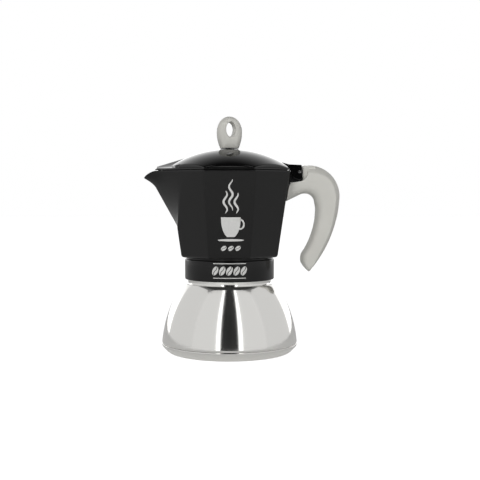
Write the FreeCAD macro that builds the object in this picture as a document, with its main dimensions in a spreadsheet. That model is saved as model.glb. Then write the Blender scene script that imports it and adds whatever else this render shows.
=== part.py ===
import FreeCAD, Part
import math
import os
import Sketcher

# A stove-top coffee maker: a bell-shaped steel boiler, an octagonal collector that screws onto
# its neck, a domed lid hinged on the collector, and a C-shaped handle.
# Millimetres. Origin: centre of the flat base. +Z up, spout towards -X, handle towards +X.

vector = FreeCAD.Vector
doc = FreeCAD.newDocument("CoffeeMaker")
sheet = doc.addObject("Spreadsheet::Sheet", "Sizes")


# ---------------------------------------------------------------- sizes
class Size:
    """A number together with the expression that the document uses for it."""

    def __init__(self, number, text):
        self.number = float(number)
        self.text = text

    def joined(self, other, sign, number):
        return Size(number, "(" + self.text + " " + sign + " " + as_size(other).text + ")")

    def __add__(self, other):
        return self.joined(other, "+", self.number + as_size(other).number)

    def __sub__(self, other):
        return self.joined(other, "-", self.number - as_size(other).number)

    def __mul__(self, other):
        return self.joined(other, "*", self.number * as_size(other).number)

    def __truediv__(self, other):
        return self.joined(other, "/", self.number / as_size(other).number)

    def __neg__(self):
        return Size(-self.number, "(0 - " + self.text + ")")


def as_size(value):
    if isinstance(value, Size):
        return value
    return Size(value, "%.6f" % value)


def root(value):
    return Size(math.sqrt(value.number), "sqrt(" + value.text + ")")


def size(name, number, note):
    """Write one driving size into the sheet and give it back with its expression."""
    row = size.rows + 1
    size.rows = row
    sheet.set("A%d" % row, note)
    sheet.set("B%d" % row, str(number))
    sheet.setAlias("B%d" % row, name)
    return Size(number, "Sizes." + name)


size.rows = 0

# boiler
boiler_radius = size("boiler_radius", 52.5, "widest outer radius")
foot_inset = size("foot_inset", 9.0, "edge of the flat foot inside the widest radius")
foot_round = size("foot_round", 9.2, "radius of the base's rounded lower edge")
foot_rise = size("foot_rise", 6.5, "height of the widest point")
seam_height = size("seam_height", 7.6, "upper edge of the base cap")
base_wall = size("base_wall", 2.5, "thickness of the base cap's floor")
base_rim = size("base_rim", 1.3, "thickness of the base cap's rim")
shoulder_radius = size("shoulder_radius", 35.9, "radius at the top of the bell")
shoulder_height = size("shoulder_height", 53.6, "height at the top of the bell")
bell_radius = size("bell_radius", 92.0, "radius of the bell's profile")
shell_wall = size("shell_wall", 1.6, "wall of the boiler")
neck_radius = size("neck_radius", 32.2, "outer radius of the neck")
neck_wall = size("neck_wall", 2.5, "wall of the neck")
neck_rise = size("neck_rise", 14.4, "neck's rim above the shoulder")
neck_top = shoulder_height + neck_rise
# safety valve
valve_drop = size("valve_drop", 17.6, "valve on the bell, below the shoulder")
valve_height = shoulder_height - valve_drop
valve_bore = size("valve_bore", 4.0, "radius of the hole in the boiler for the valve")
valve_flat = size("valve_flat", 12.0, "valve hexagon across flats")
valve_length = size("valve_length", 7.0, "valve body outside its seal")
valve_inside = size("valve_inside", 4.5, "valve shank inside the boiler wall")
seal_thickness = size("seal_thickness", 1.0, "valve sealing washer")
seal_radius = size("seal_radius", 6.0, "outer radius of the sealing washer")
spot_depth = size("spot_depth", 0.5, "depth of the flat seat cut for the seal")
plunger_radius = size("plunger_radius", 1.5, "valve plunger's stem")
plunger_gap = size("plunger_gap", 0.08, "running clearance of the plunger")
spring_wire = size("spring_wire", 0.3, "radius of the valve spring's wire")
spring_coil = size("spring_coil", 2.3, "radius of the valve spring's coil")
# coffee path
funnel_gap = size("funnel_gap", 0.5, "clearance of the funnel in the neck")
funnel_wall = size("funnel_wall", 1.0, "wall of the funnel")
funnel_depth = size("funnel_depth", 22.0, "depth of the coffee bowl")
flange_thickness = size("flange_thickness", 1.0, "flange that hangs on the neck's rim")
tube_radius = size("tube_radius", 4.7, "outer radius of the funnel's tube")
tube_wall = size("tube_wall", 0.9, "wall of the funnel's tube")
tube_clearance = size("tube_clearance", 4.0, "tube's end above the boiler's floor")
gasket_thickness = size("gasket_thickness", 2.6, "rubber ring gasket")
gasket_inner = size("gasket_inner", 24.5, "inner radius of the gasket")
plate_thickness = size("plate_thickness", 0.8, "upper filter plate and funnel filter")
filter_hole = size("filter_hole", 0.9, "radius of each hole in the filters")
# collector
collar_radius = size("collar_radius", 34.5, "outer radius of the screw collar")
collar_lift = size("collar_lift", 3.4, "lower edge of the collar above the shoulder")
collar_bottom = shoulder_height + collar_lift
collar_gap = size("collar_gap", 0.4, "clearance of the collar around the neck")
octagon_lift = size("octagon_lift", 6.0, "lower edge of the octagonal body above the neck's rim")
octagon_height = size("octagon_height", 66.3, "octagonal body")
octagon_bottom = neck_top + octagon_lift
octagon_top = octagon_bottom + octagon_height
flat_low = size("flat_low", 36.45, "axis to flat at the lower edge")
flat_high = size("flat_high", 45.9, "axis to flat at the rim")
collector_wall = size("collector_wall", 2.8, "wall of the collector")
floor_rise = size("floor_rise", 5.0, "collector floor above the filter plate's seat")
chamber_rise = size("chamber_rise", 2.6, "hollow above the filter plate")
spout_share = size("spout_share", 0.332, "share of the octagon's height below the spout")
lip_depth = size("lip_depth", 10.3, "pouring lip, down from the rim")
lip_root = size("lip_root", 12.1, "keel of the spout there, beyond the flat")
lip_reach = size("lip_reach", 21.1, "tip of the pouring lip, beyond the flat")
lip_drop = size("lip_drop", 5.3, "tip of the lip below the rim")
dip_start = size("dip_start", 11.1, "where the rim starts to dip, beyond the flat")
dip_round = size("dip_round", 16.0, "radius of the dip in the rim")
spout_spread = size("spout_spread", 9.9, "where the spout's sides leave the slanted facets, inside the flat")
column_radius = size("column_radius", 7.2, "column at its foot")
column_tip_radius = size("column_tip_radius", 5.4, "column at its top")
column_bore = size("column_bore", 3.3, "bore of the column")
column_drop = size("column_drop", 24.3, "top of the column below the rim")
cap_height = size("cap_height", 9.0, "cap on the column")
# hinge and lid
pin_out = size("pin_out", 7.7, "hinge pin beyond the flat")
pin_drop = size("pin_drop", 1.0, "hinge pin below the rim")
pin_radius = size("pin_radius", 1.25, "hinge pin")
pin_gap = size("pin_gap", 0.06, "running clearance of the lid's ears on the pin")
lug_half = size("lug_half", 5.0, "half width of the hinge lug")
ear_gap = size("ear_gap", 0.35, "side clearance between the lug and each ear")
ear_width = size("ear_width", 3.0, "thickness of each ear")
ear_radius = size("ear_radius", 4.6, "ear around the pin")
ear_end = size("ear_end", 2.2, "end of the ears and the lug beyond the pin's centre")
lid_gap = size("lid_gap", 0.3, "lid above the collector's rim")
lid_inset = size("lid_inset", 0.4, "lid's edge inside the collector's flats")
lid_rise = size("lid_rise", 16.4, "dome above the lid's lower face")
brim_out = size("brim_out", 0.941, "foot of the dome's arc beyond the lid's corners")
lid_wall = size("lid_wall", 1.8, "wall of the dome")
lid_plate = size("lid_plate", 0.9, "edge plate of the lid")
cover_out = size("cover_out", 11.1, "tip of the spout cover beyond the flat")
cover_half = size("cover_half", 4.5, "half width of the spout cover at its tip")
cover_rise = size("cover_rise", 2.0, "ridge above the lid's edge at the cover's tip")
cover_slope = size("cover_slope", 0.31, "rise of the ridge per millimetre")
cover_inset = size("cover_inset", 7.4, "where the cover meets the lid's slanted edges, inside the flat")
# knob
knob_seat_radius = size("knob_seat_radius", 6.8, "thin seat washer under the knob")
knob_seat_rise = size("knob_seat_rise", 0.5, "thickness of the seat washer")
knob_foot = size("knob_foot", 7.1, "half width of the knob's foot")
knob_half = size("knob_half", 9.9, "half width of the knob")
knob_waist = size("knob_waist", 12.5, "height of the widest point above the foot")
knob_rise = size("knob_rise", 24.5, "height of the knob")
knob_depth = size("knob_depth", 12.0, "thickness of the knob, front to back")
eye_half_width = size("eye_half_width", 3.95, "half width of the oval eye")
eye_half_height = size("eye_half_height", 5.7, "half height of the oval eye")
eye_rise = size("eye_rise", 14.3, "centre of the eye above the foot")
knob_turn = size("knob_turn", 12.0, "turn of the knob about its screw, degrees")
screw_radius = size("screw_radius", 2.0, "shank of the knob's screw")
screw_head = size("screw_head", 3.6, "head of each screw")
screw_head_rise = size("screw_head_rise", 2.0, "thickness of each screw's head")
washer_radius = size("washer_radius", 5.2, "washer under the lid's screw")
washer_thickness = size("washer_thickness", 0.8, "thickness of that washer")
# handle
handle_half = size("handle_half", 8.5, "half thickness of the grip")
handle_round = size("handle_round", 3.5, "rounding of the grip's edges")
handle_rise = size("handle_rise", 4.1, "top of the grip above the rim")
grip_crown = size("grip_crown", 0.9, "end of the grip's level top, beyond the ears' recess")
grip_reach = size("grip_reach", 39.0, "outermost point of the grip beyond the flat")
grip_reach_drop = size("grip_reach_drop", 22.5, "that point below the rim")
grip_tip = size("grip_tip", 15.7, "lower end of the grip beyond the flat")
grip_tip_drop = size("grip_tip_drop", 78.1, "that end below the rim")
grip_crotch = size("grip_crotch", 10.6, "start of the inner curve beyond the flat")
grip_crotch_drop = size("grip_crotch_drop", 17.3, "that point below the rim")
grip_throat = size("grip_throat", 20.4, "top of the inner curve beyond the flat")
grip_throat_drop = size("grip_throat_drop", 25.3, "that point below the rim")
grip_heel = size("grip_heel", 9.1, "foot of the inner curve beyond the flat")
grip_heel_drop = size("grip_heel_drop", 64.3, "that point below the rim")
grip_chin = size("grip_chin", 9.3, "end of the heel's rounding beyond the flat")
grip_chin_drop = size("grip_chin_drop", 70.3, "that point below the rim")
crown_radius = size("crown_radius", 23.9, "outer curve at the grip's top")
back_radius = size("back_radius", 94.3, "outer curve down to the tip")
throat_radius = size("throat_radius", 7.0, "hollow under the grip's root")
palm_radius = size("palm_radius", 64.0, "inner curve")
heel_radius = size("heel_radius", 13.0, "rounding at the heel")
chin_radius = size("chin_radius", 30.0, "curve from the heel to the tip")
wall_gap = size("wall_gap", 1.2, "air between the grip and the collector")
pin_clearance = size("pin_clearance", 6.9, "radius kept clear around the pin for the ears")
core_half = size("core_half", 4.2, "half width of the insert in the grip")
core_reach = size("core_reach", 4.0, "half length of the insert in the grip")
core_rise = size("core_rise", 7.2, "insert above the lower end of the strip")
handle_screw_out = size("handle_screw_out", 5.54, "handle screw beyond the flat under the lug")
handle_screw_radius = size("handle_screw_radius", 1.6, "shank of the handle screw")
strip_drop = size("strip_drop", 23.3, "lower end of the strip behind the handle, below the rim")
screw_top_drop = size("screw_top_drop", 3.1, "upper end of the handle screw below the rim")
shelf_drop = size("shelf_drop", 8.7, "face of the lug that meets the handle, below the rim")

# Places that follow from the sizes above, all from the rim, the flats and the base.
foot_radius = boiler_radius - foot_inset
spout_start = octagon_bottom + octagon_height * spout_share
spout_bend = octagon_top - lip_depth
spout_bend_reach = flat_high + lip_root
spout_reach = flat_high + lip_reach
dip_x = flat_high + dip_start
spout_root = flat_high - spout_spread
column_top = octagon_top - column_drop
pin_x = flat_high + pin_out
pin_z = octagon_top - pin_drop
cover_reach = flat_high + cover_out
cover_back = flat_high - cover_inset
handle_top = octagon_top + handle_rise
crown_x = pin_x + pin_clearance + grip_crown
handle_screw_low = octagon_top - strip_drop
handle_screw_top = octagon_top - screw_top_drop
lug_shelf = octagon_top - shelf_drop
doc.recompute()

# ---------------------------------------------------------------- helpers


def new_body(name):
    body = doc.addObject("PartDesign::Body", name)
    body.Label = name
    return body


def origin_plane(body, role):
    for feature in body.Origin.OriginFeatures:
        if feature.Role == role:
            return feature
    raise ValueError("no plane " + role)


def new_sketch(body, name, role, offset=None):
    """A sketch on one of the body's own planes, moved along the plane's normal by offset."""
    sketch = body.newObject("Sketcher::SketchObject", name)
    sketch.AttachmentSupport = [(origin_plane(body, role), "")]
    sketch.MapMode = "FlatFace"
    if offset is not None:
        sketch.setExpression("AttachmentOffset.Base.z", as_size(offset).text)
    return sketch


def held(sketch, kind, geometry, corner, value):
    """Hold one coordinate of a corner at a value measured from the sketch's origin."""
    if abs(value.number) < 1e-9:
        axis = -2 if kind == "DistanceX" else -1
        sketch.addConstraint(Sketcher.Constraint("PointOnObject", geometry, corner, axis))
        return
    index = sketch.addConstraint(
        Sketcher.Constraint(kind, -1, 1, geometry, corner, value.number)
    )
    sketch.setExpression("Constraints[%d]" % index, value.text)


def arc_through(start, end, radius):
    """The arc from start to end; a positive radius turns left, a negative one turns right."""
    chord = end - start
    middle = (start + end) * 0.5
    left = vector(-chord.y, chord.x, 0).normalize()
    depth = math.sqrt(max(radius * radius - chord.Length * chord.Length / 4.0, 0.0))
    centre = middle + left * depth * (1 if radius > 0 else -1)
    first = math.atan2(start.y - centre.y, start.x - centre.x)
    last = math.atan2(end.y - centre.y, end.x - centre.x)
    if radius < 0:
        first, last = last, first
    if last < first:
        last += 2 * math.pi
    circle = Part.Circle(centre, vector(0, 0, 1), abs(radius))
    return Part.ArcOfCircle(circle, first, last)


def outline(sketch, corners):
    """A closed outline. A corner is (across, up) or (across, up, radius of the arc that leaves it)."""
    spots = []
    for corner in corners:
        spots.append((as_size(corner[0]), as_size(corner[1])))
    ends = []
    for index, corner in enumerate(corners):
        here = spots[index]
        there = spots[(index + 1) % len(spots)]
        start = vector(here[0].number, here[1].number, 0)
        end = vector(there[0].number, there[1].number, 0)
        if len(corner) == 3:
            bend = as_size(corner[2])
            geometry = sketch.addGeometry(arc_through(start, end, bend.number), False)
            fixed = sketch.addConstraint(Sketcher.Constraint("Radius", geometry, abs(bend.number)))
            sketch.setExpression("Constraints[%d]" % fixed, "abs(" + bend.text + ")")
            ends.append((geometry, 1, 2) if bend.number > 0 else (geometry, 2, 1))
        else:
            geometry = sketch.addGeometry(Part.LineSegment(start, end), False)
            ends.append((geometry, 1, 2))
    for index, (geometry, first, last) in enumerate(ends):
        after = ends[(index + 1) % len(ends)]
        sketch.addConstraint(Sketcher.Constraint("Coincident", geometry, last, after[0], after[1]))
        held(sketch, "DistanceX", geometry, first, spots[index][0])
        held(sketch, "DistanceY", geometry, first, spots[index][1])


def ring(sketch, radius, across=0.0, up=0.0):
    """A circle about a point of the sketch."""
    across = as_size(across)
    up = as_size(up)
    radius = as_size(radius)
    circle = Part.Circle(vector(across.number, up.number, 0), vector(0, 0, 1), radius.number)
    geometry = sketch.addGeometry(circle, False)
    held(sketch, "DistanceX", geometry, 3, across)
    held(sketch, "DistanceY", geometry, 3, up)
    fixed = sketch.addConstraint(Sketcher.Constraint("Radius", geometry, radius.number))
    sketch.setExpression("Constraints[%d]" % fixed, radius.text)
    return geometry


def turn(body, name, corners, kind="PartDesign::Revolution"):
    """Turn an outline of (radius, height) corners about the vertical axis."""
    sketch = new_sketch(body, name + "_outline", "XZ_Plane")
    outline(sketch, corners)
    feature = body.newObject(kind, name)
    feature.Profile = sketch
    feature.ReferenceAxis = (sketch, ["V_Axis"])
    feature.Angle = 360
    doc.recompute()
    return feature


def turned(name, corners):
    body = new_body(name)
    turn(body, name + "_turned", corners)
    return body


def loft(body, name, sections, kind="PartDesign::AdditiveLoft"):
    """A ruled loft through outlines; each section is (plane, offset, corners)."""
    sketches = []
    for index, (role, offset, corners) in enumerate(sections):
        sketch = new_sketch(body, "%s_section_%d" % (name, index + 1), role, offset)
        outline(sketch, corners)
        sketches.append(sketch)
    feature = body.newObject(kind, name)
    feature.Profile = sketches[0]
    feature.Sections = sketches[1:]
    feature.Ruled = True
    doc.recompute()
    return feature


def pad(body, name, sketch, length, midplane=False, kind="PartDesign::Pad"):
    feature = body.newObject(kind, name)
    feature.Profile = sketch
    feature.setExpression("Length", as_size(length).text)
    feature.Midplane = midplane
    doc.recompute()
    return feature


def cut_through(body, name, sketch):
    """A pocket through everything, both ways from its sketch."""
    before = body.Shape.Volume
    feature = body.newObject("PartDesign::Pocket", name)
    feature.Profile = sketch
    feature.Type = "ThroughAll"
    feature.Midplane = True
    doc.recompute()
    if not body.Shape.Volume < before:
        raise ValueError(name + " cuts nothing")
    return feature


def cut_groove(body, name, corners):
    before = body.Shape.Volume
    turn(body, name, corners, "PartDesign::Groove")
    if not body.Shape.Volume < before:
        raise ValueError(name + " cuts nothing")


def cut_loft(body, name, sections):
    before = body.Shape.Volume
    loft(body, name, sections, "PartDesign::SubtractiveLoft")
    if not body.Shape.Volume < before:
        raise ValueError(name + " cuts nothing")


def soften(body, name, edges, radius):
    """A fillet on edges of the body's tip."""
    base = body.Tip
    feature = body.newObject("PartDesign::Fillet", name)
    feature.Base = (base, edges)
    feature.setExpression("Radius", as_size(radius).text)
    doc.recompute()
    if "Invalid" in feature.State or feature.Shape.isNull() or not feature.Shape.isValid():
        raise ValueError(name + " could not be rounded")
    return feature


def drill(body, name, radius, length, base, direction):
    """A straight round hole cut from a base point along a direction."""
    before = body.Shape.Volume
    feature = body.newObject("PartDesign::SubtractiveCylinder", name)
    feature.setExpression("Radius", as_size(radius).text)
    feature.setExpression("Height", as_size(length).text)
    feature.Placement.Rotation = FreeCAD.Rotation(vector(0, 0, 1), direction)
    for axis, value in zip("xyz", base):
        feature.setExpression("Placement.Base." + axis, as_size(value).text)
    doc.recompute()
    if not body.Shape.Volume < before:
        raise ValueError(name + " cuts nothing")


def octagon(half):
    """Corners of a regular octagon whose flats face the axes, half wide from axis to flat."""
    side = half * math.tan(math.radians(22.5))
    return [
        (half, -side),
        (half, side),
        (side, half),
        (-side, half),
        (-half, side),
        (-half, -side),
        (-side, -half),
        (side, -half),
    ]


def flat_at(height):
    """Distance from the axis to a flat of the octagonal body at a height."""
    share = (height - octagon_bottom) / (octagon_top - octagon_bottom)
    return flat_low + (flat_high - flat_low) * share


handle_screw_x = flat_at(lug_shelf) + handle_screw_out


# ---------------------------------------------------------------- boiler

# The bell's profile is one arc from the seam to the shoulder; its centre follows from both ends.
seam_radius = boiler_radius - 0.1
chord_across = shoulder_radius - seam_radius
chord_up = shoulder_height - seam_height
chord_squared = chord_across * chord_across + chord_up * chord_up
centre_share = root(bell_radius * bell_radius / chord_squared - 0.25)
centre_across = (seam_radius + shoulder_radius) / 2 - chord_up * centre_share
centre_up = (seam_height + shoulder_height) / 2 + chord_across * centre_share


def bell_at(height, depth=0.0):
    """Radius of the bell at a height, at a depth below its outer surface."""
    reach = bell_radius - depth
    rise = as_size(height) - centre_up
    return centre_across + root(reach * reach - rise * rise)


cap_inner = seam_radius - base_rim
floor_radius = foot_radius + 1.0
cap_shoulder = base_wall + 3.4


def make_induction_base():
    body = new_body("induction_base")
    turn(body, "base_cap", [
        (0, 0),
        (foot_radius, 0, foot_round),
        (boiler_radius, foot_rise),
        (seam_radius, seam_height),
        (cap_inner, seam_height),
        (cap_inner, cap_shoulder),
        (floor_radius, base_wall),
        (0, base_wall),
    ])
    return body


# The valve stands square to the bell, at the back.
valve_rise = valve_height - centre_up
valve_reach = bell_at(valve_height)
valve_tilt = math.degrees(math.asin(valve_rise.number / bell_radius.number))
valve_direction = vector(0, math.cos(math.radians(valve_tilt)), math.sin(math.radians(valve_tilt)))


def along_valve(distance):
    """The point at a distance outwards along the valve's axis from its spot face."""
    travel = as_size(distance) - spot_depth
    return (0, valve_reach + travel * valve_direction.y, valve_height + travel * valve_direction.z)


def on_valve(body):
    """Turn a piece made about +Z, with its zero on the spot face, onto the valve's axis."""
    body.Placement.Rotation = FreeCAD.Rotation(vector(0, 0, 1), valve_direction)
    for axis, value in zip("xyz", along_valve(0)):
        body.setExpression("Placement.Base." + axis, as_size(value).text)
    return body


def make_boiler_shell():
    body = new_body("boiler_shell")
    lower = seam_height + shell_wall
    upper = shoulder_height - shell_wall
    turn(body, "bell", [
        (0, base_wall),
        (floor_radius, base_wall),
        (cap_inner, cap_shoulder),
        (cap_inner, seam_height),
        (seam_radius, seam_height, bell_radius),
        (shoulder_radius, shoulder_height),
        (neck_radius, shoulder_height),
        (neck_radius, neck_top),
        (neck_radius - neck_wall, neck_top),
        (neck_radius - neck_wall, upper),
        (bell_at(upper, shell_wall), upper, -(bell_radius - shell_wall)),
        (bell_at(lower, shell_wall), lower),
        (cap_inner - shell_wall, lower - shell_wall),
        (cap_inner - shell_wall, cap_shoulder + shell_wall),
        (floor_radius - shell_wall, base_wall + shell_wall),
        (0, base_wall + shell_wall),
    ])
    drill(body, "valve_hole", valve_bore, valve_inside * 3, along_valve(-valve_inside * 2),
          valve_direction)
    drill(body, "spot_face", seal_radius + 0.6, valve_length, along_valve(0), valve_direction)
    return body


def make_valve():
    seal_top = seal_thickness
    top = seal_top + valve_length
    seat = seal_top + 2.4
    spring_bore = as_size(3.4)
    body = new_body("valve_body")
    hexagon = new_sketch(body, "hexagon_outline", "XY_Plane", seal_top)
    half = valve_flat / 2
    side = half * math.tan(math.radians(30))
    outline(hexagon, [
        (half, -side), (half, side), (0, side * 2), (-half, side), (-half, -side), (0, -(side * 2)),
    ])
    pad(body, "hexagon", hexagon, valve_length)
    shank = new_sketch(body, "shank_outline", "XY_Plane", -valve_inside)
    ring(shank, valve_bore)
    pad(body, "shank", shank, valve_inside + seal_top)
    cut_groove(body, "valve_chamber", [
        (0, -valve_inside - 1),
        (plunger_radius + plunger_gap, -valve_inside - 1),
        (plunger_radius + plunger_gap, seat),
        (spring_bore, seat),
        (spring_bore, top + 1),
        (0, top + 1),
    ])
    on_valve(body)

    seal = turned("valve_seal", [
        (valve_bore, 0), (seal_radius, 0), (seal_radius, seal_top), (valve_bore, seal_top),
    ])
    on_valve(seal)

    head = seat + 1.2
    plunger = turned("valve_plunger", [
        (0, -valve_inside - 0.8),
        (plunger_radius, -valve_inside - 0.8),
        (plunger_radius, seat),
        (spring_bore - 0.4, seat),
        (spring_bore - 0.4, head),
        (1.0, head),
        (1.0, top + 0.8),
        (0, top + 0.8),
    ])
    on_valve(plunger)

    ring_low = top - 1.0
    retainer = turned("valve_retainer", [
        (1.3, ring_low), (spring_bore, ring_low), (spring_bore, top), (1.3, top),
    ])
    on_valve(retainer)

    # Four turns of round wire between the plunger's head and the retainer.
    wire = sheet.get("spring_wire")
    coil = sheet.get("spring_coil")
    low = head.number + wire + 0.1
    high = ring_low.number - wire - 0.1
    path = Part.makeHelix((high - low) / 4.0, high - low, coil)
    path.translate(vector(0, 0, low))
    section = Part.Wire(Part.Edge(Part.Circle(vector(coil, 0, low), vector(0, 1, 0), wire)))
    spring = doc.addObject("Part::Feature", "valve_spring")
    spring.Label = "valve_spring"
    spring.Shape = Part.Wire(path.Edges).makePipeShell([section], True, True)
    on_valve(spring)
    doc.recompute()
    return [body, seal, plunger, retainer, spring]


# ---------------------------------------------------------------- coffee path

bore_radius = neck_radius - neck_wall
bowl_radius = bore_radius - funnel_gap
flange_top = neck_top + flange_thickness
bowl_floor = flange_top - funnel_depth
seat_height = flange_top + gasket_thickness + plate_thickness
socket_radius = neck_radius + collar_gap
floor_height = seat_height + floor_rise
boiler_floor = base_wall + shell_wall


def make_funnel():
    flange = neck_radius - 0.6
    cone_low = bowl_floor - 4.0
    bowl = turned("funnel", [
        (tube_radius, cone_low),
        (tube_radius + funnel_wall, cone_low),
        (bowl_radius, bowl_floor - funnel_wall),
        (bowl_radius, neck_top),
        (flange, neck_top),
        (flange, flange_top),
        (bowl_radius - funnel_wall, flange_top),
        (bowl_radius - funnel_wall, bowl_floor),
        (bowl_radius - funnel_wall - 2.5, bowl_floor),
        (bowl_radius - funnel_wall - 2.5, bowl_floor - funnel_wall),
        (tube_radius, cone_low + funnel_wall),
    ])
    tube = turned("funnel_tube", [
        (tube_radius - tube_wall, boiler_floor + tube_clearance),
        (tube_radius, boiler_floor + tube_clearance),
        (tube_radius, cone_low + funnel_wall),
        (tube_radius - tube_wall, cone_low + funnel_wall),
    ])
    return [bowl, tube]


def perforated_disc(name, radius, low, rings):
    """A thin disc with rings of small round holes; rings lists (radius of the ring, holes)."""
    body = new_body(name)
    blank = new_sketch(body, name + "_blank", "XY_Plane", low)
    ring(blank, radius)
    pad(body, name + "_disc", blank, plate_thickness)
    for index, (reach, holes) in enumerate(rings):
        hole = new_sketch(body, "%s_hole_%d" % (name, index + 1), "XY_Plane", low)
        ring(hole, filter_hole, reach)
        pocket = cut_through(body, "%s_holes_%d" % (name, index + 1), hole)
        pattern = body.newObject("PartDesign::PolarPattern", "%s_ring_%d" % (name, index + 1))
        pattern.Originals = [pocket]
        pattern.Axis = (hole, ["N_Axis"])
        pattern.Angle = 360
        pattern.Occurrences = holes
        body.Tip = pattern
        doc.recompute()
    return body


def make_filters():
    funnel_filter_radius = bowl_radius - funnel_wall - 0.2
    inner = [(funnel_filter_radius * (step / 5.0), 6 * step) for step in range(1, 5)]
    lower = perforated_disc("funnel_filter", funnel_filter_radius, bowl_floor, inner)
    outer = [(gasket_inner * (step / 5.6), 6 * step) for step in range(1, 6)]
    upper = perforated_disc("filter_plate", neck_radius - 0.3, seat_height - plate_thickness, outer)
    return [lower, upper]


def make_gasket():
    return turned("gasket", [
        (gasket_inner, flange_top),
        (neck_radius - 0.3, flange_top),
        (neck_radius - 0.3, flange_top + gasket_thickness),
        (gasket_inner, flange_top + gasket_thickness),
    ])


def make_column():
    column = turned("coffee_column", [
        (column_bore, seat_height + chamber_rise),
        (column_radius - 1.2, seat_height + chamber_rise),
        (column_radius - 1.2, floor_height),
        (column_radius, floor_height),
        (column_tip_radius, column_top),
        (column_bore, column_top),
    ])
    cap = turned("column_cap", [
        (0, column_top + cap_height - 1.2),
        (column_bore, column_top + cap_height - 1.2),
        (column_bore, column_top),
        (column_tip_radius, column_top),
        (column_tip_radius - 0.2, column_top + cap_height - 2.0, 2.2),
        (column_tip_radius - 2.2, column_top + cap_height),
        (0, column_top + cap_height),
    ])
    drill(cap, "outlets", 2.0, column_tip_radius * 2 + 2.0,
          (0, column_tip_radius + 1.0, column_top + 4.2), vector(0, -1, 0))
    return [column, cap]


# ---------------------------------------------------------------- collector


def spout_section(height, reach, inset=0.0):
    """Corners of the spout at a height: two slanted sides that meet at the keel."""
    share = (height - spout_start) / (octagon_top - spout_start)
    start_root = flat_at(spout_start) - 0.5
    out = start_root + (spout_root - start_root) * share
    side_low = flat_at(spout_start) * math.tan(math.radians(22.5))
    side_high = flat_high * math.sqrt(2) - spout_root
    half = side_low + (side_high - side_low) * share - inset
    return [
        (-out + 8.0, -half),
        (-out, -half),
        (-(reach - inset), -0.6),
        (-(reach - inset), 0.6),
        (-out, half),
        (-out + 8.0, half),
    ]


def make_collector():
    body = new_body("collector_body")
    loft(body, "octagon_outer", [
        ("XY_Plane", octagon_bottom, octagon(flat_low)),
        ("XY_Plane", octagon_top, octagon(flat_high)),
    ])
    # The spout: its keel rises straight from the flat, then flares into the lip.
    keel_start = flat_at(spout_start) + 0.4
    flare = (spout_reach - spout_bend_reach) / (octagon_top - lip_drop - spout_bend)
    rim_reach = spout_bend_reach + flare * (octagon_top - spout_bend)
    bend_section = spout_section(spout_bend, spout_bend_reach)
    loft(body, "spout_outer", [
        ("XY_Plane", spout_start, spout_section(spout_start, keel_start)),
        ("XY_Plane", spout_bend, bend_section),
    ])
    loft(body, "lip_outer", [
        ("XY_Plane", spout_bend, bend_section),
        ("XY_Plane", octagon_top, spout_section(octagon_top, rim_reach)),
    ])
    dip = new_sketch(body, "dip_outline", "XZ_Plane")
    outline(dip, [
        (-dip_x, octagon_top, dip_round),
        (-spout_reach, octagon_top - lip_drop),
        (-(rim_reach + 5.0), octagon_top - lip_drop),
        (-(rim_reach + 5.0), octagon_top + 5.0),
        (-dip_x, octagon_top + 5.0),
    ])
    cut_through(body, "dip", dip)
    skirt = new_sketch(body, "skirt_outline", "XY_Plane", collar_bottom)
    ring(skirt, collar_radius)
    pad(body, "skirt", skirt, octagon_bottom - collar_bottom + 1.0)
    # The hollow, with the same slant as the outside.
    inner_low = flat_at(floor_height) - collector_wall
    inner_high = flat_at(octagon_top + 1.0) - collector_wall
    cut_loft(body, "octagon_inner", [
        ("XY_Plane", floor_height, octagon(inner_low)),
        ("XY_Plane", octagon_top + 1.0, octagon(inner_high)),
    ])
    wall = collector_wall * 1.1
    inner_start = spout_start + 6.0
    bend_inner = spout_section(spout_bend, spout_bend_reach, wall)
    share = (inner_start - spout_start) / (spout_bend - spout_start)
    start_reach = keel_start + (spout_bend_reach - keel_start) * share
    cut_loft(body, "spout_inner", [
        ("XY_Plane", inner_start, spout_section(inner_start, start_reach, wall)),
        ("XY_Plane", spout_bend, bend_inner),
    ])
    cut_loft(body, "lip_inner", [
        ("XY_Plane", spout_bend, bend_inner),
        ("XY_Plane", octagon_top + 1.0, spout_section(octagon_top + 1.0, rim_reach + 1.0, wall)),
    ])
    # The socket for the neck, the seat of the filter plate and the hole for the column.
    column_hole = column_radius - 1.2
    cut_groove(body, "socket", [
        (0, collar_bottom - 1.0),
        (socket_radius, collar_bottom - 1.0),
        (socket_radius, seat_height),
        (gasket_inner, seat_height),
        (column_hole, seat_height + chamber_rise),
        (column_hole, floor_height + 1.0),
        (0, floor_height + 1.0),
    ])
    # The lug that carries the hinge pin and the handle.
    lug = new_sketch(body, "lug_outline", "XZ_Plane")
    lug_low = handle_screw_low
    lug_top = pin_z + ear_radius - 0.4
    start = flat_high - collector_wall * 0.6
    outline(lug, [
        (flat_at(lug_low) - collector_wall * 0.6, lug_low),
        (flat_at(lug_low) + 1.2, lug_low),
        (flat_at(lug_shelf) + 1.2, lug_shelf),
        (pin_x + ear_end, lug_shelf),
        (pin_x + ear_end, pin_z + 2.2),
        (pin_x + ear_end - 2.0, lug_top),
        (start + 2.6, lug_top - 4.6),
        (start, lug_top - 4.6),
    ])
    pad(body, "lug", lug, lug_half * 2, True)
    pin_hole = new_sketch(body, "pin_hole_outline", "XZ_Plane")
    ring(pin_hole, pin_radius, pin_x, pin_z)
    cut_through(body, "pin_hole", pin_hole)
    drill(body, "handle_screw_hole", handle_screw_radius, handle_screw_top - lug_shelf + 1.0,
          (handle_screw_x, 0, lug_shelf - 1.0), vector(0, 0, 1))
    return body


def make_pin():
    pin = new_body("hinge_pin")
    outer = lug_half + ear_gap + ear_width
    section = new_sketch(pin, "pin_section", "XZ_Plane")
    ring(section, pin_radius, pin_x, pin_z)
    pad(pin, "pin", section, outer * 2 + 0.4, True)
    return pin


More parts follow.
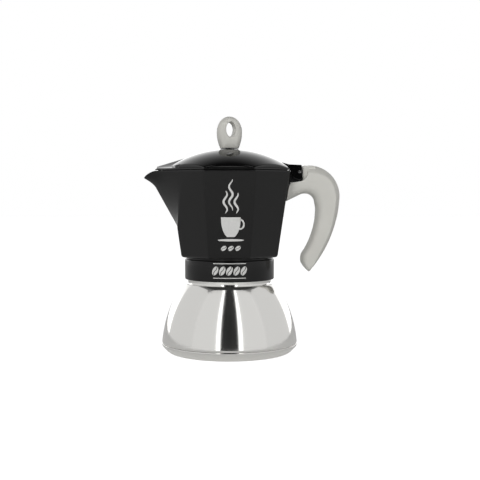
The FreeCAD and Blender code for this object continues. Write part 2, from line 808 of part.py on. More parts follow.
# ---------------------------------------------------------------- lid

lid_low = octagon_top + lid_gap
lid_flat = flat_high - lid_inset
lid_crest = lid_low + lid_rise
brim = lid_flat / math.cos(math.pi / 8) + brim_out
lid_radius = (brim * brim + lid_rise * lid_rise) / (lid_rise * 2)
dome_centre = lid_crest - lid_radius
hollow_radius = lid_flat - lid_wall


def dome_at(radius, depth=0.0):
    reach = lid_radius - depth
    radius = as_size(radius)
    return dome_centre + root(reach * reach - radius * radius)


def cover_section(along, half, low, depth=0.0):
    """The spout cover's roof-shaped section at a distance along -X from the axis."""
    ridge = lid_low + lid_plate + cover_rise + cover_slope * (cover_reach - along) - depth
    half = half - depth
    return [(-half, low), (half, low), (half, low + 0.6), (0, ridge), (-half, low + 0.6)]


def cover_sections(tip, low, depth=0.0):
    """Sections from the cover's tip, past the lid's slanted edge, to where the dome buries it."""
    wide = lid_flat * math.sqrt(2) - cover_back
    buried = cover_back - 18.0
    return [
        ("YZ_Plane", -tip, cover_section(tip, cover_half, low, depth)),
        ("YZ_Plane", -cover_back, cover_section(cover_back, wide, low, depth)),
        ("YZ_Plane", -buried, cover_section(buried, wide * 0.45, low, depth)),
    ]


def make_lid():
    body = new_body("lid_shell")
    plate = new_sketch(body, "plate_outline", "XY_Plane", lid_low)
    outline(plate, octagon(lid_flat))
    pad(body, "plate", plate, lid_plate)
    turn(body, "dome", [
        (0, lid_low),
        (brim, lid_low, lid_radius),
        (0, lid_crest),
    ])
    trim = new_sketch(body, "trim_outline", "XY_Plane")
    outline(trim, octagon(lid_flat))
    ring(trim, flat_high * 1.6)
    cut_through(body, "trim", trim)
    loft(body, "spout_cover", cover_sections(cover_reach, lid_low))
    hollow_top = lid_crest - lid_wall
    hollow_brim = dome_at(hollow_radius, lid_wall)
    cut_groove(body, "dome_hollow", [
        (0, lid_low - 1.0),
        (hollow_radius, lid_low - 1.0),
        (hollow_radius, hollow_brim, lid_radius - lid_wall),
        (0, hollow_top),
    ])
    cut_loft(body, "cover_hollow", cover_sections(cover_reach - 2.5, lid_low - 1.0, lid_wall * 0.8))
    # Two ears straddle the collector's lug.
    outer = lug_half + ear_gap + ear_width
    ears = new_sketch(body, "ear_outline", "XZ_Plane")
    ear_top = pin_z + ear_radius + 1.0
    outline(ears, [
        (hollow_radius - 2.0, dome_at(hollow_radius - 2.0, lid_wall * 0.5)),
        (lid_flat + 0.6, lid_low),
        (pin_x - ear_radius, pin_z - 2.0, ear_radius),
        (pin_x + ear_end, pin_z - 3.4),
        (pin_x + ear_end, ear_top),
        (pin_x - 7.0, ear_top + 0.4),
        (hollow_radius - 4.6, dome_at(hollow_radius - 4.6) + 0.2),
    ])
    pad(body, "ears", ears, outer * 2, True)
    gap = new_sketch(body, "gap_outline", "XY_Plane", pin_z - ear_radius - 2.0)
    inner = lug_half + ear_gap
    outline(gap, [
        (lid_flat + 0.1, -inner),
        (pin_x + ear_radius + 3.0, -inner),
        (pin_x + ear_radius + 3.0, inner),
        (lid_flat + 0.1, inner),
    ])
    pocket = pad(body, "gap", gap, ear_radius * 4, False, "PartDesign::Pocket")
    pocket.Reversed = True
    doc.recompute()
    holes = new_sketch(body, "ear_hole_outline", "XZ_Plane")
    ring(holes, pin_radius + pin_gap, pin_x, pin_z)
    cut_through(body, "ear_holes", holes)
    drill(body, "knob_screw_hole", screw_radius, lid_wall + 2.0,
          (0, 0, lid_crest - lid_wall - 1.0), vector(0, 0, 1))
    return body


# ---------------------------------------------------------------- knob

knob_foot_z = lid_crest + knob_seat_rise


def make_knob():
    body = new_body("knob")
    egg = new_sketch(body, "egg_outline", "XZ_Plane")
    waist = knob_foot_z + knob_waist
    top = knob_foot_z + knob_rise
    rise = knob_rise - knob_waist
    high = waist + rise * 0.707
    outline(egg, [
        (-knob_foot, knob_foot_z),
        (knob_foot, knob_foot_z, 31),
        (knob_half, waist, 15),
        (knob_half * 0.707, high, 8.4),
        (0, top, 8.4),
        (-(knob_half * 0.707), high, 15),
        (-knob_half, waist, 31),
    ])
    pad(body, "egg", egg, knob_depth, True)
    eye = new_sketch(body, "eye_outline", "XZ_Plane")
    eye_z = knob_foot_z + eye_rise
    reach = eye_half_width * 0.72
    lift = eye_half_height * 0.72
    outline(eye, [
        (eye_half_width, eye_z, 7.6),
        (reach, eye_z + lift, 3.4),
        (-reach, eye_z + lift, 7.6),
        (-eye_half_width, eye_z, 7.6),
        (-reach, eye_z - lift, 3.4),
        (reach, eye_z - lift, 7.6),
    ])
    cut_through(body, "eye", eye)
    drill(body, "screw_socket", screw_radius, 6.0, (0, 0, knob_foot_z), vector(0, 0, 1))
    body.Placement.Rotation = FreeCAD.Rotation(vector(0, 0, 1), knob_turn.number)
    doc.recompute()

    seat = turned("knob_seat", [
        (screw_radius, lid_crest),
        (knob_seat_radius, lid_crest),
        (knob_seat_radius, knob_foot_z),
        (screw_radius, knob_foot_z),
    ])
    under = lid_crest - lid_wall
    washer = turned("knob_washer", [
        (screw_radius, under - 0.5 - washer_thickness),
        (washer_radius, under - 0.5 - washer_thickness),
        (washer_radius, under - 0.5),
        (screw_radius, under - 0.5),
    ])
    head_top = under - 0.5 - washer_thickness
    screw = turned("knob_screw", [
        (0, head_top - screw_head_rise),
        (screw_head, head_top - screw_head_rise),
        (screw_head, head_top),
        (screw_radius, head_top),
        (screw_radius, knob_foot_z + 5.5),
        (0, knob_foot_z + 5.5),
    ])
    return [body, seat, washer, screw]


# ---------------------------------------------------------------- handle


def make_handle():
    grip = new_body("handle_grip")
    profile = new_sketch(grip, "grip_outline", "XZ_Plane")
    root_low = handle_screw_low - 0.4
    tongue_end = pin_x + ear_end + 0.3
    crotch = (flat_high + grip_crotch, octagon_top - grip_crotch_drop)
    throat = (flat_high + grip_throat, octagon_top - grip_throat_drop)
    heel = (flat_high + grip_heel, octagon_top - grip_heel_drop)
    tip = (flat_high + grip_tip, octagon_top - grip_tip_drop)
    reach = (flat_high + grip_reach, octagon_top - grip_reach_drop)
    crown = (crown_x, handle_top)
    outline(profile, [
        (flat_at(root_low) + wall_gap, root_low),
        crotch + (-throat_radius,),
        throat + (-palm_radius,),
        heel + (heel_radius,),
        (flat_high + grip_chin, octagon_top - grip_chin_drop, chin_radius),
        tip + (back_radius,),
        reach + (crown_radius,),
        crown,
        (tongue_end + 1.0, handle_top),
        (tongue_end, handle_top - 1.0),
        (tongue_end, lug_shelf),
        (flat_at(lug_shelf) + wall_gap, lug_shelf),
    ])
    pad(grip, "grip_blank", profile, handle_half * 2, True)
    # The ears swing in a recess on each side of the grip's tongue, round below and open above.
    for name, side in (("front_recess", -1), ("back_recess", 1)):
        swing = new_sketch(grip, name + "_outline", "XZ_Plane", lug_half * -side)
        outline(swing, [
            (pin_x - pin_clearance, pin_z, pin_clearance),
            (pin_x, pin_z - pin_clearance, pin_clearance),
            (pin_x + pin_clearance, pin_z),
            (pin_x + pin_clearance, handle_top + 2.0),
            (pin_x - pin_clearance, handle_top + 2.0),
        ])
        recess = pad(grip, name, swing, handle_half, False, "PartDesign::Pocket")
        recess.Reversed = side < 0
        doc.recompute()
    rounded = long_edges(grip, [(crotch, throat), (throat, heel), (tip, reach), (reach, crown)])
    soften(grip, "grip_round", rounded, handle_round)
    # Pocket for the insert, open upwards to the lug, and the screw's hole from below.
    core_low = handle_screw_low + core_rise
    pocket = new_sketch(grip, "core_pocket_outline", "XY_Plane", core_low)
    near = handle_screw_x - core_reach
    far = handle_screw_x + core_reach
    outline(pocket, [(near, -core_half), (far, -core_half), (far, core_half), (near, core_half)])
    hole = pad(grip, "core_pocket", pocket, lug_shelf - core_low + 1.0, False, "PartDesign::Pocket")
    hole.Reversed = True
    doc.recompute()
    drill(grip, "screw_way", screw_head + 0.3, 10.0,
          (handle_screw_x, 0, core_low - 9.0), vector(0, 0, 1))

    core = new_body("handle_core")
    block = new_sketch(core, "core_outline", "XY_Plane", core_low)
    outline(block, [(near, -core_half), (far, -core_half), (far, core_half), (near, core_half)])
    pad(core, "core_block", block, lug_shelf - core_low)
    drill(core, "core_hole", handle_screw_radius + 0.1, 30.0,
          (handle_screw_x, 0, core_low - 5.0), vector(0, 0, 1))
    screw = turned("handle_screw", [
        (0, core_low - screw_head_rise),
        (screw_head, core_low - screw_head_rise),
        (screw_head, core_low),
        (handle_screw_radius, core_low),
        (handle_screw_radius, handle_screw_top),
        (0, handle_screw_top),
    ])
    screw.setExpression("Placement.Base.x", handle_screw_x.text)
    return [grip, core, screw]


def long_edges(body, runs):
    """The edges of the grip's two side faces that run between given pairs of outline points."""
    names = []
    for index, edge in enumerate(body.Shape.Edges):
        ends = [vertex.Point for vertex in edge.Vertexes]
        if len(ends) < 2 or any(abs(abs(end.y) - handle_half.number) > 0.01 for end in ends):
            continue
        for first, last in runs:
            ways = ((first, last), (last, first))
            if any(all(math.hypot(end.x - spot[0].number, end.z - spot[1].number) < 0.01
                       for end, spot in zip(ends, way)) for way in ways):
                names.append("Edge%d" % (index + 1))
    return names


def main():
    pieces = [make_induction_base(), make_boiler_shell()]
    pieces += make_valve()
    pieces += make_funnel()
    pieces += make_filters()
    pieces.append(make_gasket())
    pieces += make_column()
    pieces.append(make_collector())
    pieces.append(make_pin())
    pieces.append(make_lid())
    pieces += make_knob()
    pieces += make_handle()
    doc.recompute()
    for thing in doc.Objects:
        if "Invalid" in thing.State or "Error" in thing.State:
            raise RuntimeError(thing.Name + " could not be built")
    for piece in pieces:
        if piece.Shape.isNull() or not piece.Shape.isValid() or len(piece.Shape.Solids) != 1:
            raise RuntimeError(piece.Label + " is not one valid solid")
    os.makedirs("parts", exist_ok=True)
    for piece in pieces:
        piece.Shape.exportStep("parts/" + piece.Label + ".step")
        print(piece.Label, "%.1f mm3" % piece.Shape.Volume)


main()
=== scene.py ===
import math
import bpy
import numpy as np
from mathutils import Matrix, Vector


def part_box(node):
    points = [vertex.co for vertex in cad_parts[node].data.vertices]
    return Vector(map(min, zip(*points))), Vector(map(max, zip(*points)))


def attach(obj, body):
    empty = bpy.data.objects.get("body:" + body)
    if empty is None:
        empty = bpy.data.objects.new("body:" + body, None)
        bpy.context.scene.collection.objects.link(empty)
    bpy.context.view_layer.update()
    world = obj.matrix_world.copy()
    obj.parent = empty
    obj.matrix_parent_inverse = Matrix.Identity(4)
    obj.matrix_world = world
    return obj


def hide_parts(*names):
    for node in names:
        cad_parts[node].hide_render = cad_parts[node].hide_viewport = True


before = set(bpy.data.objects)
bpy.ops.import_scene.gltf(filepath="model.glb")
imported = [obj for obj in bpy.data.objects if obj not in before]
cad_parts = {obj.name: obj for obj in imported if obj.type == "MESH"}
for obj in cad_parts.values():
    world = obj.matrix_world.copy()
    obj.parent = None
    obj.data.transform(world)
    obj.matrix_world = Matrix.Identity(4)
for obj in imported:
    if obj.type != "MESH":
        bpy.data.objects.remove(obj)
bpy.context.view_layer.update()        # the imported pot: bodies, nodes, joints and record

mm = 0.001


def linearColour(hexColour):
    # sRGB hex to linear RGBA: the standard curve, (c + 0.055) / 1.055 to the power 2.4 above 0.04045
    parts = [int(hexColour[i:i + 2], 16) / 255 for i in (0, 2, 4)]
    return [c / 12.92 if c <= 0.04045 else ((c + 0.055) / 1.055) ** 2.4 for c in parts] + [1.0]


def addNode(tree, kind, settings=None, links=None):
    # a node with its settings (attribute or input name) and links {input: output socket}
    node = tree.nodes.new(kind)
    for key, value in (settings or {}).items():
        if isinstance(key, str) and hasattr(node, key):
            setattr(node, key, value)
        else:
            node.inputs[key].default_value = value
    for key, socket in (links or {}).items():
        tree.links.new(socket, node.inputs[key])
    return node


def boxOf(node):
    # a node's lowest and highest corner in mm, to a thousandth
    low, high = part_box(node)
    return np.round(np.array(low) / mm, 3), np.round(np.array(high) / mm, 3)


def newMaterial(name, colour, roughness, metallic=0.0, **sockets):
    # a material whose shader has this colour, roughness and metal share, and any other socket by its name
    material = bpy.data.materials.new(name)
    material.use_nodes = True
    tree = material.node_tree
    shader = tree.nodes["Principled BSDF"]
    shader.inputs["Base Color"].default_value = linearColour(colour)
    shader.inputs["Roughness"].default_value = roughness
    shader.inputs["Metallic"].default_value = metallic
    for key, value in sockets.items():
        shader.inputs[key.replace("_", " ")].default_value = value
    return material, tree, shader


def smooth(share):
    # the cubic 3s^2 - 2s^3 between 0 and 1
    share = np.clip(share, 0, 1)
    return share * share * (3 - 2 * share)


def roundedPath(corners, closed=False, steps=5):
    # a path through corners (across, up, radius): each corner is an arc tangent to both its sides
    count = len(corners)
    spots = np.array([c[:2] for c in corners], float)
    path = []
    for i, corner in enumerate(corners):
        radius = corner[2] if len(corner) > 2 else 0
        inner = 0 < i < count - 1 or closed
        if not radius or not inner:
            path.append(spots[i][None])
            continue
        before = spots[i - 1] - spots[i]
        after = spots[(i + 1) % count] - spots[i]
        before /= np.linalg.norm(before)
        after /= np.linalg.norm(after)
        half = math.acos(np.clip(before @ after, -1, 1)) / 2
        reach = radius / math.tan(half)
        centre = spots[i] + (before + after) / np.linalg.norm(before + after) * radius / math.sin(half)
        first = spots[i] + before * reach - centre
        last = spots[i] + after * reach - centre
        sweep = math.pi - 2 * half
        share = np.linspace(0, 1, steps + 1)[:, None]
        arc = first * np.sin((1 - share) * sweep) + last * np.sin(share * sweep)
        path.append(centre + arc / math.sin(sweep))
    return np.concatenate(path)


def gridQuads(index):
    # each cell of a grid of point numbers is a quad: its four corners taken in turn
    return np.stack([index[:-1, :-1], index[:-1, 1:], index[1:, 1:], index[1:, :-1]], axis=-1).reshape(-1, 4)


def makePiece(name, points, material, body, closedAcross=True, closedAlong=False, sharp=40):
    # a grid of points (rows, columns, 3) in mm becomes a mesh of quads; poles are merged and
    # the mesh is turned so that its enclosed volume is positive
    rows, columns = points.shape[:2]
    index = np.arange(rows * columns).reshape(rows, columns)
    if closedAcross:
        index = np.concatenate([index, index[:, :1]], axis=1)
    if closedAlong:
        index = np.concatenate([index, index[:1]], axis=0)
    return finishPiece(name, points.reshape(-1, 3), gridQuads(index), material, body, sharp)


def finishPiece(name, spots, quads, material, body, sharp=40):
    # merge points that agree to a twenty-thousandth of a mm, drop faces that lost an edge, turn the faces so
    # that the volume is positive (a sixth of the sum of a . (b x c) over the triangles), shade smooth
    keys = np.round(spots * 2e4).astype(np.int64)
    first, back = np.unique(keys, axis=0, return_index=True, return_inverse=True)[1:]
    back = back.reshape(-1)
    spots = spots[first]
    quads = back[quads]
    a, b, c, d = (spots[quads[:, i]] for i in range(4))
    volume = (np.einsum("ij,ij->i", a, np.cross(b, c)) + np.einsum("ij,ij->i", a, np.cross(c, d))).sum()
    if volume < 0:
        quads = quads[:, ::-1]
    same = np.stack([quads[:, i] == quads[:, (i + 1) % 4] for i in range(4)], axis=1)
    cross = (quads[:, 0] == quads[:, 2]) | (quads[:, 1] == quads[:, 3])
    full = quads[(same.sum(1) == 0) & ~cross]
    three = quads[(same.sum(1) == 1) & ~cross]
    gap = np.argmax(same[(same.sum(1) == 1) & ~cross], axis=1) if len(three) else np.zeros(0, int)
    order = (gap[:, None] + 1 + np.arange(3)) % 4
    three = np.take_along_axis(three, order, axis=1) if len(three) else np.zeros((0, 3), int)
    return placePiece(name, spots, full.tolist() + three.tolist(), material, body, sharp)


def placePiece(name, spots, faces, material, body, sharp):
    # points in mm and faces become a smooth object that rides on its body, creased above the sharp angle
    mesh = bpy.data.meshes.new(name)
    mesh.from_pydata((spots * mm).tolist(), [], faces)
    mesh.update()
    if sharp:
        mesh.shade_smooth()
        mesh.set_sharp_from_angle(angle=math.radians(sharp))
    piece = bpy.data.objects.new(name, mesh)
    bpy.context.scene.collection.objects.link(piece)
    piece.data.materials.append(material)
    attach(piece, body)
    return piece


def spunPiece(name, path, material, body, around=192, closed=True, sharp=40):
    # a profile of (radius, height) turned about the pot's axis: x = r cos a, y = r sin a, z = height
    angle = np.linspace(0, 2 * np.pi, around, endpoint=False)
    radius = path[:, 0][:, None]
    points = np.stack([radius * np.cos(angle), radius * np.sin(angle),
                       np.broadcast_to(path[:, 1][:, None], (len(path), around))], axis=-1)
    return makePiece(name, points, material, body, True, closed, sharp)


def slabPiece(name, outline, low, high, material, body, bevel, segments=3):
    # an outline of (x, z) pulled along y from low to high, with its edges rounded by a Bevel; the sign of its
    # area, half the sum of x z' - x' z, says which way the faces turn
    count = len(outline)
    spots = np.zeros((2 * count, 3))
    spots[:count, 0] = spots[count:, 0] = outline[:, 0]
    spots[:count, 2] = spots[count:, 2] = outline[:, 1]
    spots[:count, 1] = low
    spots[count:, 1] = high
    area = np.sum(outline[:, 0] * np.roll(outline[:, 1], -1) - np.roll(outline[:, 0], -1) * outline[:, 1])
    ring = np.arange(count)
    after = np.roll(ring, -1)
    sides = np.stack([ring, after, after + count, ring + count], axis=1)
    ends = np.stack([ring[::-1], ring + count])
    if area > 0:
        sides, ends = sides[:, ::-1], ends[:, ::-1]
    piece = placePiece(name, spots, sides.tolist() + ends.tolist(), material, body, 35)
    soften = piece.modifiers.new("edges", "BEVEL")
    soften.width = bevel * mm
    soften.segments = segments
    soften.limit_method = "ANGLE"
    soften.angle_limit = math.radians(40)
    soften.harden_normals = True
    return piece


def roundedPolygon(angle, planes, power, norm=40.0):
    # radius of a rounded polygon: norm over the p-norm of norm * cos(angle from a normal) / its distance
    total = np.zeros_like(angle)
    for normal, distance in planes:
        total += (np.clip(np.cos(angle - normal), 0, None) * norm / distance) ** power
    return norm * total ** (-1 / power)


def polishedSteel():
    # 18/10 stainless steel, spun and buffed: mirror-like, with very fine rings left by the buffing
    material, tree, shader = newMaterial("polishedStainlessSteel", "dddcd9", 0.12, 1.0)
    place = addNode(tree, "ShaderNodeTexCoord")
    squeeze = addNode(tree, "ShaderNodeMapping", {"Scale": (40, 40, 1400)},
                      {"Vector": place.outputs["Object"]})
    rings = addNode(tree, "ShaderNodeTexNoise", {"Scale": 1.0, "Detail": 4.0, "Roughness": 0.6},
                    {"Vector": squeeze.outputs["Vector"]})
    spread = addNode(tree, "ShaderNodeMapRange", {"To Min": 0.07, "To Max": 0.15},
                     {"Value": rings.outputs["Fac"]})
    tree.links.new(spread.outputs["Result"], shader.inputs["Roughness"])
    relief = addNode(tree, "ShaderNodeBump", {"Strength": 0.05, "Distance": 0.00005},
                     {"Height": rings.outputs["Fac"]})
    tree.links.new(relief.outputs["Normal"], shader.inputs["Normal"])
    return material


def blackEnamel(name, colour, roughness, gloss, grain):
    # sprayed and baked enamel on cast aluminium: a faint orange-peel relief under a hard skin
    material, tree, shader = newMaterial(name, colour, roughness, 0.0, Specular_IOR_Level=gloss)
    place = addNode(tree, "ShaderNodeTexCoord")
    peel = addNode(tree, "ShaderNodeTexNoise", {"Scale": 900.0, "Detail": 2.0},
                   {"Vector": place.outputs["Object"]})
    relief = addNode(tree, "ShaderNodeBump", {"Strength": grain, "Distance": 0.00004},
                     {"Height": peel.outputs["Fac"]})
    tree.links.new(relief.outputs["Normal"], shader.inputs["Normal"])
    return material


def softTouch():
    # moulded nylon with a soft-touch lacquer: matt, very fine grain, a light sheen at grazing angles
    material, tree, shader = newMaterial("softTouchNylon", "c2c1bc", 0.5, 0.0, Sheen_Weight=0.1,
                                         Sheen_Roughness=0.4)
    place = addNode(tree, "ShaderNodeTexCoord")
    grain = addNode(tree, "ShaderNodeTexNoise", {"Scale": 2600.0, "Detail": 3.0},
                    {"Vector": place.outputs["Object"]})
    cloud = addNode(tree, "ShaderNodeTexNoise", {"Scale": 60.0, "Detail": 2.0},
                    {"Vector": place.outputs["Object"]})
    tint = addNode(tree, "ShaderNodeMix", {"data_type": "RGBA"}, {"Factor": cloud.outputs["Fac"]})
    tint.inputs["A"].default_value = linearColour("bfbeb8")
    tint.inputs["B"].default_value = linearColour("c8c7c1")
    tree.links.new(tint.outputs["Result"], shader.inputs["Base Color"])
    relief = addNode(tree, "ShaderNodeBump", {"Strength": 0.25, "Distance": 0.00005},
                     {"Height": grain.outputs["Fac"]})
    tree.links.new(relief.outputs["Normal"], shader.inputs["Normal"])
    return material


def machinedMetal(name, colour, roughness, scale, strength):
    # turned or drawn metal: fine tool marks as stretched noise
    material, tree, shader = newMaterial(name, colour, roughness, 1.0)
    place = addNode(tree, "ShaderNodeTexCoord")
    squeeze = addNode(tree, "ShaderNodeMapping", {"Scale": scale}, {"Vector": place.outputs["Object"]})
    marks = addNode(tree, "ShaderNodeTexNoise", {"Scale": 1.0, "Detail": 3.0},
                    {"Vector": squeeze.outputs["Vector"]})
    spread = addNode(tree, "ShaderNodeMapRange", {"To Min": roughness * 0.8, "To Max": roughness * 1.3},
                     {"Value": marks.outputs["Fac"]})
    tree.links.new(spread.outputs["Result"], shader.inputs["Roughness"])
    relief = addNode(tree, "ShaderNodeBump", {"Strength": strength, "Distance": 0.00005},
                     {"Height": marks.outputs["Fac"]})
    tree.links.new(relief.outputs["Normal"], shader.inputs["Normal"])
    return material


def siliconeRubber(name, colour):
    # moulded silicone: soft satin with a slight mottling
    material, tree, shader = newMaterial(name, colour, 0.55, 0.0)
    place = addNode(tree, "ShaderNodeTexCoord")
    mottle = addNode(tree, "ShaderNodeTexNoise", {"Scale": 700.0, "Detail": 2.0},
                     {"Vector": place.outputs["Object"]})
    relief = addNode(tree, "ShaderNodeBump", {"Strength": 0.2, "Distance": 0.00005},
                     {"Height": mottle.outputs["Fac"]})
    tree.links.new(relief.outputs["Normal"], shader.inputs["Normal"])
    return material


def printInk():
    # screen-printed light grey ink: matt, slightly uneven cover
    material, tree, shader = newMaterial("printedInk", "c4c4c2", 0.6)
    place = addNode(tree, "ShaderNodeTexCoord")
    patch = addNode(tree, "ShaderNodeTexNoise", {"Scale": 500.0, "Detail": 3.0},
                    {"Vector": place.outputs["Object"]})
    tint = addNode(tree, "ShaderNodeMix", {"data_type": "RGBA"}, {"Factor": patch.outputs["Fac"]})
    tint.inputs["A"].default_value = linearColour("b9b9b7")
    tint.inputs["B"].default_value = linearColour("d0d0ce")
    tree.links.new(tint.outputs["Result"], shader.inputs["Base Color"])
    return material


steel = polishedSteel()
bodyBlack = blackEnamel("satinBlackEnamel", "0e0e0e", 0.24, 0.28, 0.1)
lidBlack = blackEnamel("glossBlackEnamel", "060606", 0.09, 0.5, 0.03)
softGrey = softTouch()
pinSteel = machinedMetal("drawnSteel", "d8d8d8", 0.18, (900, 900, 900), 0.05)
turnedBrass = machinedMetal("turnedBrass", "c9a55c", 0.22, (300, 300, 2500), 0.1)
castAluminium = machinedMetal("castAluminium", "bdbdbb", 0.38, (700, 700, 700), 0.25)
spunAluminium = machinedMetal("spunAluminium", "cfcfcd", 0.28, (60, 60, 1500), 0.12)
filterSteel = machinedMetal("punchedSteel", "c9c9c6", 0.25, (800, 800, 800), 0.08)
paleSilicone = siliconeRubber("paleSilicone", "d9d6cf")
blackRubber = siliconeRubber("blackRubber", "1c1c1c")
darkNylon = siliconeRubber("darkNylon", "26262a")
ink = printInk()
print("materials made")


baseHigh = boxOf("induction_base")[1]
boiler = {
    "maxRadius": baseHigh[0], "footRadius": baseHigh[0] - 9.0, "footRise": 6.5, "seamHeight": baseHigh[2],
    "bellRadius": 92.0, "shoulderRadius": 35.9, "shoulderHeight": 53.6, "wall": 1.6, "neckRadius": 32.2,
    "neckTop": boxOf("boiler_shell")[1][2], "neckWall": 2.5, "capTop": 5.9, "capFloor": 2.5, "bellFloor": 4.1,
}


def bellProfile(s, count=60, inward=0.0):
    # one arc from the seam to the shoulder; its centre lies on the perpendicular through the chord
    low = np.array([s["maxRadius"] - 0.1, s["seamHeight"]])
    high = np.array([s["shoulderRadius"], s["shoulderHeight"]])
    chord = high - low
    length = np.linalg.norm(chord)
    left = np.array([-chord[1], chord[0]]) / length
    radius = s["bellRadius"]
    centre = (low + high) / 2 + left * math.sqrt(radius ** 2 - length ** 2 / 4)
    first = math.atan2(*(low - centre)[::-1])
    last = math.atan2(*(high - centre)[::-1])
    angle = np.linspace(first, last, count)
    return centre + (radius - inward) * np.stack([np.cos(angle), np.sin(angle)], axis=1)


def makeBoiler(s):
    # the bell's arc outside and the same arc less the wall inside, joined by neck, rim and floor and turned
    # about the axis; below it the base cap, a dish whose round corners are arcs
    bell = bellProfile(s)
    inner = bellProfile(s, 30, s["wall"])[::-1]
    wide, foot, seam, up = s["maxRadius"], s["footRadius"], s["seamHeight"], s["shoulderHeight"]
    neck, top = s["neckRadius"], s["neckTop"]
    bore = neck - s["neckWall"]
    lip = wide - 1.4
    shoulder = roundedPath([tuple(bell[-2]), (s["shoulderRadius"] - 0.4, up + 0.25, 0.35),
                            (neck + 0.9, up + 0.45, 0.3), (neck + 0.1, up + 0.1, 0.3), (neck, up + 1.4, 0.3),
                            (neck, top - 0.6)])[1:]
    rim = roundedPath([(neck, top - 0.6), (neck, top, 0.5), (bore, top, 0.5), (bore, top - 2),
                       (bore, up - s["wall"], 0.8), tuple(inner[0])])
    under = roundedPath([tuple(inner[-1]), (wide - 3.0, 6.5, 2), (foot - 1, s["bellFloor"], 2),
                         (0, s["bellFloor"])])
    skirt = roundedPath([(0, s["capFloor"]), (foot + 1, s["capFloor"]), (lip, s["capTop"]), (lip, seam + 0.1),
                         (wide - 0.45, seam + 0.1, 0.2), tuple(bell[1])])
    path = np.concatenate([skirt, bell[2:-2], shoulder, rim[1:], inner[1:], under[1:]])
    piece = spunPiece("boilerBell", path, steel, "boiler", 256, False, 35)
    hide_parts("boiler_shell")
    side = roundedPath([(foot - 6, 0), (foot + 3.6, 0.0, 7.5), (wide, s["footRise"] - 0.6, 2.4),
                        (wide - 0.02, seam - 0.5)], steps=12)
    inside = roundedPath([(wide - 0.02, seam - 0.5), (wide - 0.1, seam - 0.1, 0.2), (lip, seam - 0.1, 0.2),
                          (lip, s["capTop"]), (foot + 1, s["capFloor"]), (0, s["capFloor"])])
    cap = np.concatenate([[(0, 0)], side, inside[1:]])
    piece = spunPiece("baseCap", cap, steel, "boiler", 256, False, 35)
    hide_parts("induction_base")


makeBoiler(boiler)
print("boiler made")


collectorLow, collectorHigh = boxOf("collector_body")
collector = {
    "flatLow": 36.45, "flatHigh": collectorHigh[1], "low": boiler["neckTop"] + 6.0,
    "high": collectorHigh[2] - 3.2, "wall": 2.8, "sharpness": 210.0, "spoutStart": 96.0, "keelSlope": 0.556,
    "spoutRoot": 36.0, "flareStart": 127.0, "flare": 0.09, "flareHalf": 6.5, "dipStart": 56.0, "dip": 0.0438,
    "collarRadius": 34.5, "collarLow": collectorLow[2], "collarHigh": 72.6, "socket": 32.6,
    "seat": boxOf("filter_plate")[1][2], "chamber": boxOf("coffee_column")[0][2], "holeRadius": 6.0,
    "floor": 77.4, "rimRound": 1.0, "lowerRound": 2.0, "insideRound": 4.0, "lipRound": 0.6, "crowding": 0.88,
}


def flatAt(z, s):
    # distance from the axis to a flat grows evenly with height
    return s["flatLow"] + (s["flatHigh"] - s["flatLow"]) * (z - s["low"]) / (s["high"] - s["low"])


def spoutShape(z, s):
    # where the spout's sides leave the slanted facets (out, half), a straight line in height from the flat to
    # spoutRoot, and how far its keel reaches: keelSlope times the height above spoutStart
    start = s["spoutStart"]
    share = np.clip((z - start) / (s["high"] - start), 0, None)
    flat = flatAt(z, s)
    flatStart = flatAt(start, s)
    out = np.where(z > start, flatStart + (s["spoutRoot"] - flatStart) * share, flat)
    half = np.where(z > start, flat * math.sqrt(2) - out, flat * math.tan(math.pi / 8))
    keel = np.where(z > start, flatStart + 0.02 + s["keelSlope"] * (z - start), flat)
    return out, half, keel


def collectorAngles(z, s, perSide=36):
    # directions at a height: shares t between the section's corners, crowded as t - c sin(2 pi t) / 2 pi
    out, half = spoutShape(z, s)[:2]
    corner = np.arctan2(half, -out)
    eighth = math.pi / 8
    marks = [np.full_like(corner, k * eighth) for k in (-5, -3, -1, 1, 3, 5)]
    marks = [np.full_like(corner, -math.pi), -corner] + marks + [corner, np.full_like(corner, math.pi)]
    share = np.arange(perSide) / perSide
    share = share - s["crowding"] * np.sin(2 * np.pi * share) / (2 * np.pi)
    parts = [a[..., None] + (b - a)[..., None] * share for a, b in zip(marks[:-1], marks[1:])]
    return np.concatenate(parts, axis=-1)


def collectorSection(angle, z, inset, s):
    # the rounded polygon of seven flats and the spout's two sides; towards the rim the spout flares outward
    # by flare times the square of the height above flareStart, as a bell curve across y
    flat = flatAt(z, s) - inset
    out, half, keel = spoutShape(z, s)
    length = np.hypot(half, keel - out)
    spoutNormal = np.arctan2(keel - out, -half)
    spoutDistance = half * keel / length - inset
    planes = [(k * math.pi / 4, flat) for k in range(-3, 4)]
    planes += [(side * spoutNormal, spoutDistance) for side in (-1, 1)]
    radius = roundedPolygon(angle, planes, s["sharpness"])
    x = radius * np.cos(angle)
    y = radius * np.sin(angle)
    lift = np.clip(z - s["flareStart"], 0, 9) ** 2 * s["flare"]
    x = x - lift * np.exp(-(y / s["flareHalf"]) ** 2) * (x < -20)
    return x, y


def rimHeight(x, s):
    # the rim is level, then dips as a parabola towards the tip of the spout
    return s["high"] - s["dip"] * np.clip(-x - s["dipStart"], 0, None) ** 2


def rimAt(angle, inset, s):
    # the height where each direction meets the rim, by halving the interval
    low = np.full_like(angle, 120.0)
    high = np.full_like(angle, s["high"])
    for _ in range(30):
        middle = (low + high) / 2
        x = collectorSection(angle, middle, inset, s)[0]
        above = middle > rimHeight(x, s)
        high = np.where(above, middle, high)
        low = np.where(above, low, middle)
    return (low + high) / 2


